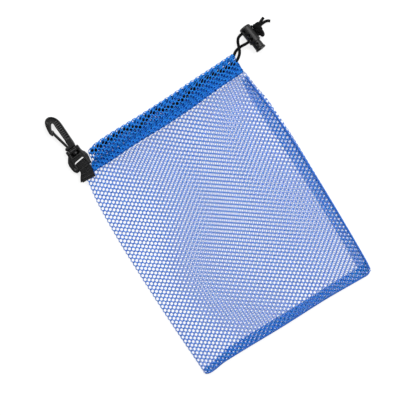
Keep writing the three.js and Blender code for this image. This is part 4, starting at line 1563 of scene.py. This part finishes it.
@dataclass
class WebbingTab:
    """A woven band sewn over the bag's left edge and folded round the swivel eye's bar."""

    frame: FittingFrame = field(default_factory=FittingFrame)
    thickness: float = 1.1
    inside: float = 2.4
    bend: tuple[float, float] = (-6.3, 4.3)
    reach: tuple[float, float] = (1.72, 2.0)
    rib: float = 1.25
    pick: float = 0.95
    relief: float = 0.07
    points_across: int = 54
    edge_power: int = 7
    stitch_rows: tuple[float, ...] = (0.07, 0.17, 0.3)
    # Rows of left x and y, right x and y, and inner height: the top layer's, then the bottom layer's
    top: tuple[tuple[float, ...], ...] = (
        (-12.6, -12.6, 3.1, -15.9, 5.05), (-10.0, -8.5, 4.6, -10.2, 5.1), (-6.9, -4.6, 6.0, -5.2, 5.4),
    )
    bottom: tuple[tuple[float, ...], ...] = (
        (-7.0, -5.0, 6.0, -5.4, 1.1), (-11.2, -13.6, 3.4, -15.4, 1.1),
    )

    def edges(self) -> tuple[Array, Array]:
        """Points along the band's left and right edges on its middle surface, evenly spaced.

        Returns:
            As many points on the left edge as on the right.
        """
        half = self.thickness / 2
        left, right = [], []
        for lx, ly, rx, ry, z in self.top:
            left.append((lx, ly, z + half))
            right.append((rx, ry, z + half))
        for degrees in range(90, -91, -15):
            angle = math.radians(degrees)
            radius = self.inside + half
            y, z = radius * math.cos(angle), self.frame.axis_height + radius * math.sin(angle)
            left.append((self.bend[0], y * self.reach[0], z))
            right.append((self.bend[1], y * self.reach[1], z))
        for lx, ly, rx, ry, z in self.bottom:
            left.append((lx, ly, z - half))
            right.append((rx, ry, z - half))
        a, b = smooth_path(left, 0.2), smooth_path(right, 0.2)
        share = np.linspace(0, 1, max(len(a), len(b)))
        return spread(a, np.linspace(0, 1, len(a)), share), spread(b, np.linspace(0, 1, len(b)), share)

    def mesh(self) -> MeshData:
        """The band: a flat oval section carried along it, raised in a basket weave.

        Returns:
            The closed mesh.
        """
        left, right = self.edges()
        middle = (left + right) / 2
        run = distances(middle)
        across = right - left
        width = np.linalg.norm(across, axis=1)
        across /= width[:, None]
        out = np.cross(across, np.gradient(middle, axis=0))
        out /= np.linalg.norm(out, axis=1)[:, None]
        t = np.linspace(-1, 1, self.points_across)
        edge = np.sqrt(np.clip(1 - np.abs(t) ** self.edge_power, 0, 1))
        v, s = np.meshgrid(t, run)
        reach = v * width[:, None] / 2
        weave = np.sin(2 * math.pi * reach / self.rib) * np.cos(2 * math.pi * s / self.pick)
        weave = weave + 0.5 * np.cos(4 * math.pi * reach / self.rib)
        height = edge[None] * self.thickness / 2 * 0.9 + edge[None] * self.relief * (weave - 0.3)
        base = middle[:, None] + across[:, None] * reach[..., None]
        upper = base + out[:, None] * height[..., None]
        lower = (base - out[:, None] * height[..., None])[:, ::-1]
        points = np.concatenate([upper, lower[:, 1:-1]], axis=1)
        rows, around = points.shape[:2]
        flat = np.stack([reach, s], -1)
        uv = np.concatenate([flat, flat[:, ::-1][:, 1:-1]], axis=1).reshape(-1, 2)
        c = np.arange(around)
        first = np.stack([0 * c[1:-1], c[2:], c[1:-1]], -1)
        last = np.stack([0 * c[1:-1], c[1:-1], c[2:]], -1) + (rows - 1) * around
        placed = self.frame.place(points.reshape(-1, 3))
        return MeshData(placed, [grid_faces(rows, around, True), first, last], uv)

    def stitches(self) -> MeshData:
        """Three zigzag rows of black thread across the band that hold it to the bag.

        Returns:
            The stitches as one mesh.
        """
        left, right = self.edges()
        sewing = Stitching(thread=0.2, length=1.0, pitch=0.8)
        way = np.linspace(0.12, 0.88, 24)[:, None]
        up = np.tile([0.0, 0.0, 1.0], (len(way), 1))
        rows = []
        for share in self.stitch_rows:
            i = int(share * (len(left) - 1))
            line = left[i] + (right[i] - left[i]) * way + np.array([0, 0, self.thickness / 2 + 0.1])
            rows.append(sewing.row(self.frame.place(line), up, 0.5))
        return join(rows)


def plate(outer: Sequence[Sequence[float]], holes: Sequence[Sequence[Sequence[float]]], thickness: float,
          bevel: float) -> bpy.types.Mesh:
    """A flat moulding with rounded edges, from outlines, lying round z = 0.

    Args:
        outer: The outline's corners.
        holes: The corners of each hole.
        thickness: The full thickness.
        bevel: The radius of the edges.

    Returns:
        The mesh, in millimetres.
    """
    curve = bpy.data.curves.new("outline", "CURVE")
    curve.dimensions = "2D"
    curve.fill_mode = "BOTH"
    curve.extrude = thickness / 2 - bevel
    curve.bevel_depth = bevel
    curve.bevel_resolution = 3
    curve.offset = -bevel
    for outline in (outer, *holes):
        spline = curve.splines.new("POLY")
        spline.points.add(len(outline) - 1)
        for point, (x, y) in zip(spline.points, outline):
            point.co = (x, y, 0, 1)
        spline.use_cyclic_u = True
    obj = bpy.data.objects.new("outline", curve)
    bpy.context.scene.collection.objects.link(obj)
    depsgraph = bpy.context.evaluated_depsgraph_get()
    mesh = bpy.data.meshes.new_from_object(obj.evaluated_get(depsgraph))
    bpy.data.objects.remove(obj)
    return mesh


def round_outline(points: Sequence[Sequence[float]], step: float) -> list[tuple[float, float]]:
    """A closed outline drawn smoothly through its corners, with a point at each step.

    Args:
        points: The corners.
        step: Distance between the outline's points.

    Returns:
        The points, with the first not repeated at the end.
    """
    p = [tuple(q) for q in points]
    path = smooth_path([*p, p[0]], step)
    return [(float(x), float(y)) for x, y in path[:-1]]


def rod(axis: int, radius: float, low: float, high: float) -> MeshData:
    """A cylinder on the local x, y or z axis between two places, in millimetres.

    Args:
        axis: 0 for x, 1 for y and 2 for z.
        radius: The cylinder's radius.
        low: Where it starts.
        high: Where it ends.

    Returns:
        The closed mesh.
    """
    path = np.zeros((2, 3))
    path[:, axis] = (low, high)
    return tube(path, radius, ROD_SIDES)


def box(low: Sequence[float], high: Sequence[float]) -> MeshData:
    """A block between two corners, in local millimetres.

    Args:
        low: The lowest corner.
        high: The highest corner.

    Returns:
        The closed mesh.
    """
    corners = np.array([[(low, high)[i][0], (low, high)[j][1], (low, high)[k][2]]
                        for k in (0, 1) for j in (0, 1) for i in (0, 1)], float)
    faces = np.array([[0, 2, 3, 1], [4, 5, 7, 6], [0, 1, 5, 4], [2, 6, 7, 3], [0, 4, 6, 2], [1, 3, 7, 5]])
    return MeshData(corners, [faces])


def moulding(name: str, parts: Sequence[bpy.types.Mesh | MeshData], material: bpy.types.Material,
             place: Callable[[Array], Array], voxel: float = 0.24, rounds: int = 5) -> bpy.types.Object:
    """Fuses parts into one body with soft inner corners, as plastic comes out of a mould.

    Args:
        name: The piece's name.
        parts: Closed meshes in local millimetres.
        material: The finish.
        place: Takes local points to plan millimetres.
        voxel: Grain of the fused surface, in millimetres.
        rounds: How often it is smoothed.

    Returns:
        The object.
    """
    merged = bmesh.new()
    for part in parts:
        mesh = part
        if isinstance(part, MeshData):
            mesh = bpy.data.meshes.new("part")
            faces = [tuple(int(v) for v in face) for group in part.faces for face in group]
            mesh.from_pydata([tuple(p) for p in part.points], [], faces)
        merged.from_mesh(mesh)
    bmesh.ops.remove_doubles(merged, verts=merged.verts, dist=1e-4)
    bmesh.ops.recalc_face_normals(merged, faces=merged.faces)
    rough = bpy.data.meshes.new(name + "_rough")
    merged.to_mesh(rough)
    merged.free()
    obj = bpy.data.objects.new(name + "_rough", rough)
    bpy.context.scene.collection.objects.link(obj)
    fuse = obj.modifiers.new("fuse", "REMESH")
    fuse.mode = "VOXEL"
    fuse.voxel_size = voxel
    soften = obj.modifiers.new("soften", "SMOOTH")
    soften.factor = 0.5
    soften.iterations = rounds
    depsgraph = bpy.context.evaluated_depsgraph_get()
    fused = bpy.data.meshes.new_from_object(obj.evaluated_get(depsgraph))
    count = len(fused.vertices)
    points = np.empty(count * 3)
    fused.vertices.foreach_get("co", points)
    local = points.reshape(-1, 3)
    corners = np.empty(len(fused.loops), np.int32)
    fused.loops.foreach_get("vertex_index", corners)
    sizes = np.empty(len(fused.polygons), np.int32)
    fused.polygons.foreach_get("loop_total", sizes)
    quads = corners.reshape(-1, 4) if (sizes == 4).all() else corners.reshape(-1, 3)
    bpy.data.objects.remove(obj)
    return MeshData(place(local), [quads]).piece(name, material)


@dataclass
class SwivelHook:
    """The black moulded swivel snap hook: an eye on the webbing, the hook that turns in it, and its gate."""

    frame: FittingFrame = field(default_factory=FittingFrame)
    # The right side is cut away where the hem's corner lies beside it
    eye_right: tuple[tuple[float, float], ...] = (
        (5.8, -2.6), (7.0, -1.9), (8.5, 0.4), (9.6, 3.6), (10.0, 7.4), (9.3, 10.6), (7.8, 13.0),
        (7.3, 16.4), (7.0, 19.4),
    )
    eye_left: tuple[tuple[float, float], ...] = (
        (-7.0, 19.4), (-7.3, 16.4), (-10.0, 13.0), (-11.6, 10.6), (-12.4, 7.4), (-12.4, 3.6),
        (-12.0, 0.2), (-10.8, -2.0), (-8.7, -2.6),
    )
    slot: tuple[tuple[float, float], ...] = (
        (-6.4, 1.0), (4.4, 1.0), (4.4, 7.0), (3.8, 7.7), (-4.8, 7.0), (-5.9, 6.6), (-6.4, 5.8),
    )
    eye_frame: tuple[tuple[float, float], ...] = (
        (7.1, -1.4), (7.1, 3.6), (7.2, 10.6), (7.1, 18.8), (-7.3, 18.8), (-7.9, 10.6), (-8.4, 3.6),
        (-8.2, -1.4),
    )
    window: tuple[tuple[float, float], ...] = ((-4.6, 12.3), (4.6, 12.3), (4.6, 15.9), (-4.6, 15.9))
    collar: tuple[tuple[float, float], ...] = (
        (-7.3, 16.4), (7.3, 16.4), (7.5, 17.2), (7.5, 19.6), (7.0, 20.6), (-7.0, 20.6), (-7.5, 19.6),
        (-7.5, 17.2),
    )
    # Corners of the blocks on the eye: the rib under the window, the wall behind it, the collar's two
    # posts and the two bars between them
    eye_blocks: tuple[tuple[tuple[float, ...], tuple[float, ...]], ...] = (
        ((-4.6, 10.7, -3.4), (3.6, 11.9, 3.4)), ((-5.2, 11.9, -3.45), (5.2, 16.4, -2.8)),
        ((-7.2, 16.6, -3.5), (-4.6, 20.0, 3.5)), ((4.6, 16.6, -3.5), (7.2, 20.0, 3.5)),
        ((-3.0, 17.4, -3.5), (3.0, 18.2, 3.5)), ((-3.0, 19.2, -3.5), (3.0, 20.0, 3.5)),
    )
    # Radius of each rod along the eye's bar, and where it starts and ends: the bar and its two bosses
    eye_rods: tuple[tuple[float, float, float], ...] = ((2.1, -8.5, 8.5), (2.6, 7.0, 8.0), (3.0, -10.2, -7.0))
    hook_outer: tuple[tuple[float, float], ...] = (
        (5.2, 20.9), (5.5, 22.6), (5.8, 25.0), (6.1, 34.0), (6.5, 45.5), (6.3, 50.6), (5.3, 54.2),
        (3.4, 57.0), (1.0, 58.9), (-1.3, 59.6), (-3.6, 59.3), (-5.6, 58.0), (-7.3, 55.4), (-8.4, 51.8),
        (-9.1, 48.0), (-9.3, 45.4), (-9.1, 43.4), (-8.4, 42.0), (-7.3, 41.8),
    )
    hook_inner: tuple[tuple[float, float], ...] = (
        (-5.4, 46.9), (-4.4, 49.0), (-3.2, 51.0), (-2.2, 52.2), (-0.9, 52.2), (-0.3, 50.8), (-0.5, 47.0),
        (-0.7, 38.0), (-0.7, 31.0),
    )
    hook_foot: tuple[tuple[float, float], ...] = (
        (-1.0, 29.4), (-1.2, 27.0), (-1.4, 24.0), (-5.1, 24.0), (-5.2, 20.9),
    )
    outline_step: float = 0.45
    # The stem that turns in the eye, and its knob in the window: radius, start and end
    stem: tuple[float, float, float] = (2.2, 13.4, 21.9)
    knob: tuple[float, float, float] = (2.65, 13.6, 15.6)
    ribs: int = 9
    rib_start: float = 32.6
    rib_pitch: float = 2.25
    rib_width: float = 0.75
    recess: tuple[tuple[float, float], ...] = (
        (1.0, 31.5), (4.5, 31.5), (4.7, 38.0), (4.9, 46.0), (4.6, 50.4), (3.6, 53.6), (2.0, 55.9),
        (0.4, 57.0), (-1.2, 57.4), (-2.6, 57.0), (-4.0, 55.8), (-3.4, 54.0), (-1.6, 54.4), (0.2, 53.6),
        (1.2, 51.4), (1.1, 47.0), (0.9, 38.0),
    )
    gate_pivot: tuple[float, float, float] = (-2.7, 25.2, 1.3)
    gate_outline: tuple[tuple[float, float], ...] = (
        (-4.5, 43.6), (-4.2, 44.9), (-4.4, 46.0), (-5.05, 46.75), (-6.85, 41.95), (-6.9, 41.0),
    )

    def place(self, points: Array) -> Array:
        """Takes local points, with z from the swivel's axis, to the plan."""
        return self.frame.place(points, self.frame.axis_height)

    def eye(self, material: bpy.types.Material) -> bpy.types.Object:
        """The eye: a frame round the webbing's slot, a recess, and a collar that holds the hook's stem.

        Args:
            material: The plastic.

        Returns:
            The piece.
        """
        openings = [self.slot, self.window]
        parts = [
            plate([*self.eye_right, *self.eye_left], openings, 4.0, 1.3),
            plate(self.eye_frame, openings, 5.9, 0.6),
            plate(self.collar, [], 6.4, 1.2),
            *(rod(0, *sizes) for sizes in self.eye_rods),
            *(box(*corners) for corners in self.eye_blocks),
        ]
        return moulding("swivel_eye_moulding", parts, material, self.place)

    def hook(self, material: bpy.types.Material) -> bpy.types.Object:
        """The hook: a bowed beam with raised rims and small ribs across, on a ringed shank and stem.

        Args:
            material: The plastic.

        Returns:
            The piece.
        """
        corners = [*self.hook_outer, *self.hook_inner, *self.hook_foot]
        outline = round_outline(corners, self.outline_step)
        parts = [
            plate(outline, [round_outline(self.recess, self.outline_step)], 7.0, 1.1),
            plate(outline, [], 5.9, 1.0),
            rod(1, *self.stem),
            rod(1, *self.knob),
            box((-4.9, 22.3, -3.5), (5.2, 23.5, 3.5)),
        ]
        for k in range(self.ribs):
            y = self.rib_start + self.rib_pitch * k
            parts.append(box((0.8, y, -3.3), (4.9, y + self.rib_width, 3.3)))
        return moulding("snap_hook_moulding", parts, material, self.place)

    def gate(self, material: bpy.types.Material) -> bpy.types.Object:
        """The gate: a thin tongue from its root in the shank to its head at the hook's nose.

        Args:
            material: The plastic.

        Returns:
            The piece.
        """
        x, y, radius = self.gate_pivot
        angle = math.pi + math.pi * np.arange(13) / 12
        root = [(x + radius * math.cos(a), y + radius * math.sin(a)) for a in angle]
        parts = [plate([*root, *self.gate_outline], [], 5.2, 0.55)]
        return moulding("hook_gate_moulding", parts, material, self.place, 0.2, 3)


@dataclass
class CordLock:
    """The barrel cord lock: a dimpled barrel that the cords pass through, and a sprung plunger."""

    head: tuple[float, float] = (118.2, 154.2)
    foot: tuple[float, float] = (121.7, 126.2)
    radius: float = 6.1
    around: int = 96
    step: float = 0.3
    # How far under the barrel's radius a surface still counts as outside, and is pressed in
    skin: float = 1.15
    # A dimple's depth falls off between these shares of its half sizes
    rim: tuple[float, float] = (0.78, 1.04)
    # Radius and distance from the barrel's closed end
    barrel: tuple[tuple[float, float], ...] = (
        (0.01, -0.4), (2.0, -0.36), (3.6, -0.2), (4.7, 0.05), (5.4, 0.4), (5.85, 0.9), (6.05, 1.5),
        (6.1, 2.2), (6.1, 17.2), (6.1, 18.2), (6.0, 18.7), (5.8, 19.0), (5.45, 19.0), (5.3, 18.7),
        (5.3, 14.7), (0.01, 14.7),
    )
    plunger: tuple[tuple[float, float], ...] = (
        (0.01, 18.8), (5.0, 18.8), (5.0, 25.6), (5.1, 26.0), (5.4, 26.3), (5.6, 26.7), (5.62, 27.4),
        (5.5, 28.0), (5.1, 28.35), (4.4, 28.4), (4.1, 28.2), (0.01, 28.1),
    )
    # Angle round the axis from straight up in degrees, distance from the closed end, half sizes round
    # and along, and depth. The three on top are open to view, and at the four on the sides the cords pass.
    dimples: tuple[tuple[float, ...], ...] = (
        (-36, 4.6, 1.5, 1.5, 3.0), (-22, 10.3, 1.7, 1.5, 3.4), (-25, 14.8, 2.1, 1.5, 3.4),
        (-90, 4.35, 1.8, 1.8, 1.6), (-90, 14.75, 1.8, 1.8, 1.6), (90, 4.35, 1.8, 1.8, 1.6),
        (90, 14.75, 1.8, 1.8, 1.6),
    )
    neck_dimples: tuple[tuple[float, ...], ...] = (
        (-6, 21.9, 2.1, 1.2, 2.4), (-90, 20.8, 1.8, 1.8, 2.4), (90, 20.8, 1.8, 1.8, 2.4),
    )

    def turned(self, profile: Sequence[Sequence[float]],
               dimples: Sequence[Sequence[float]]) -> MeshData:
        """A profile turned round the lock's axis, pressed in at its dimples.

        The radius at an angle and a distance is the profile's, less each dimple's depth times a smooth
        step down inside an oval.

        Args:
            profile: Rows of radius and distance along the axis.
            dimples: Rows as in the class's own tables.

        Returns:
            The closed mesh.
        """
        p = np.asarray(profile, float)
        lengths = np.linalg.norm(np.diff(p, axis=0), axis=1)
        parts = []
        for a, b, length in zip(p[:-1], p[1:], lengths):
            n = max(int(math.ceil(length / self.step)), 1)
            parts.append(a + (b - a) * (np.arange(n) / n)[:, None])
        line = np.vstack([*parts, p[-1:]])
        angle = np.linspace(-math.pi, math.pi, self.around, endpoint=False)
        theta, height = np.meshgrid(angle, line[:, 1])
        reach = np.repeat(line[:, :1], self.around, axis=1)
        outside = reach > self.radius - self.skin
        for degrees, at, half_turn, half_long, depth in dimples:
            away = (theta - math.radians(degrees) + math.pi) % (2 * math.pi) - math.pi
            oval = np.hypot(away * self.radius / half_turn, (height - at) / half_long)
            reach = reach - np.where(outside, depth * (1 - smoothstep(oval, *self.rim)), 0)
        way = np.array([self.foot[0] - self.head[0], self.foot[1] - self.head[1]])
        way /= np.linalg.norm(way)
        side = np.array([-way[1], way[0]])
        x = self.head[0] + way[0] * height + side[0] * reach * np.sin(theta)
        y = self.head[1] + way[1] * height + side[1] * reach * np.sin(theta)
        z = self.radius + reach * np.cos(theta)
        points = stack(x, y, z).reshape(-1, 3)
        return MeshData(points, [grid_faces(len(line), self.around, True)])

    def barrel_mesh(self) -> MeshData:
        """The barrel, closed at one end, with its dimples."""
        return self.turned(self.barrel, self.dimples)

    def plunger_mesh(self) -> MeshData:
        """The plunger's neck and cap."""
        return self.turned(self.plunger, self.neck_dimples)


def settle(obj: bpy.types.Object, body: Body, slot: Slot, nodes: Sequence[str]) -> bpy.types.Object:
    """Lets a piece ride on its body and stand for its CAD nodes.

    Args:
        obj: The piece.
        body: The body that it moves with.
        slot: Not used.
        nodes: The CAD nodes that it stands for, if any.

    Returns:
        The piece.
    """
    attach(obj, body.value)
    if nodes:
        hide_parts(*nodes)
    LOG.info("%s: %d faces", obj.name, len(obj.data.polygons))
    return obj


def main() -> None:
    """Builds the bag, its finishes and the studio, and reports each piece."""
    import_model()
    Studio().build()
    pouch = Pouch()
    hem = Hem(pouch)
    cord = Drawcord(pouch)
    blue = KnitYarn(cover=0.46).build()
    # Painted light: the seam allowances are the same net yarn, given lighter colours to make up for the shade
    # between their layers.
    painted_light_colours = {"light": (0.035, 0.45, 1.0), "middle": (0.016, 0.30, 1.0), "dark": (0.009, 0.165, 0.75)}
    sheer = KnitYarn(name="side_seam_yarn", cover=0.30, **painted_light_colours).build()
    filled = KnitYarn(name="bottom_seam_yarn", cover=0.52, **painted_light_colours).build()
    deep = KnitYarn(name="hem_yarn", glow=0.2).build()
    thread = SewingThread("blue_thread", (0.012, 0.22, 0.86), (0.004, 0.09, 0.45)).build()
    black_thread = SewingThread("black_thread", (0.03, 0.03, 0.032), (0.004, 0.004, 0.004)).build()
    black = BraidedSheath().build()
    webbing = WovenWebbing().build()
    plastic = MouldedPlastic().build()
    bag = Body.BAG
    front = settle(pouch.net(True).piece("net_front", blue), bag, Slot.NETTING, ["net_body"])
    back = settle(pouch.net(False).piece("net_back", blue), bag, Slot.NETTING, ["net_body"])
    side = settle(pouch.side_allowance().piece("side_allowance", sheer), bag, Slot.HEM, ["side_seam"])
    low = settle(pouch.bottom_allowance().piece("bottom_allowance", filled), bag, Slot.HEM, ["bottom_seam"])
    casing = settle(hem.net().piece("hem_casing", deep), bag, Slot.HEM, ["cord_casing"])
    settle(PouchStitching(pouch, hem).mesh().piece("seam_stitches", thread), bag, Slot.HEM, [])
    settle(cord.in_hem().piece("drawcord_in_hem", black), bag, Slot.CORD, ["drawcord"])
    knot = settle(StopperKnot(cord).mesh().piece("stopper_knot", black), bag, Slot.CORD, ["cord_knot"])
    lock = CordLock()
    barrel = settle(lock.barrel_mesh().piece("lock_barrel", plastic), bag, Slot.PLASTIC, ["cord_lock_barrel"])
    plunger = settle(lock.plunger_mesh().piece("lock_plunger", plastic), Body.PLUNGER, Slot.PLASTIC,
                     ["cord_lock_plunger"])
    for name, route, node in (
        ("cord_run_a", STRAND_A, "cord_strand_a"), ("cord_run_b", STRAND_B, "cord_strand_b"),
    ):
        mesh, path = cord.strand(route)
        obj = settle(mesh.piece(name, black), bag, Slot.CORD, [node])
        length = float(np.linalg.norm(np.diff(path, axis=0), axis=1).sum()) * MM
        in_frame(path[0])
        in_frame(path)
        LOG.info("%s: %.1f mm long", name, length / MM)
    tab = WebbingTab()
    settle(tab.mesh().piece("webbing_band", webbing), bag, Slot.WEBBING, ["webbing_tab"])
    settle(tab.stitches().piece("webbing_stitches", black_thread), bag, Slot.WEBBING, [])
    swivel = SwivelHook()
    settle(swivel.eye(plastic), Body.EYE, Slot.PLASTIC, ["swivel_eye"])
    settle(swivel.hook(plastic), Body.HOOK, Slot.PLASTIC, ["snap_hook"])
    settle(swivel.gate(plastic), Body.GATE, Slot.PLASTIC, ["hook_gate"])


if __name__ == "__main__":
    main()
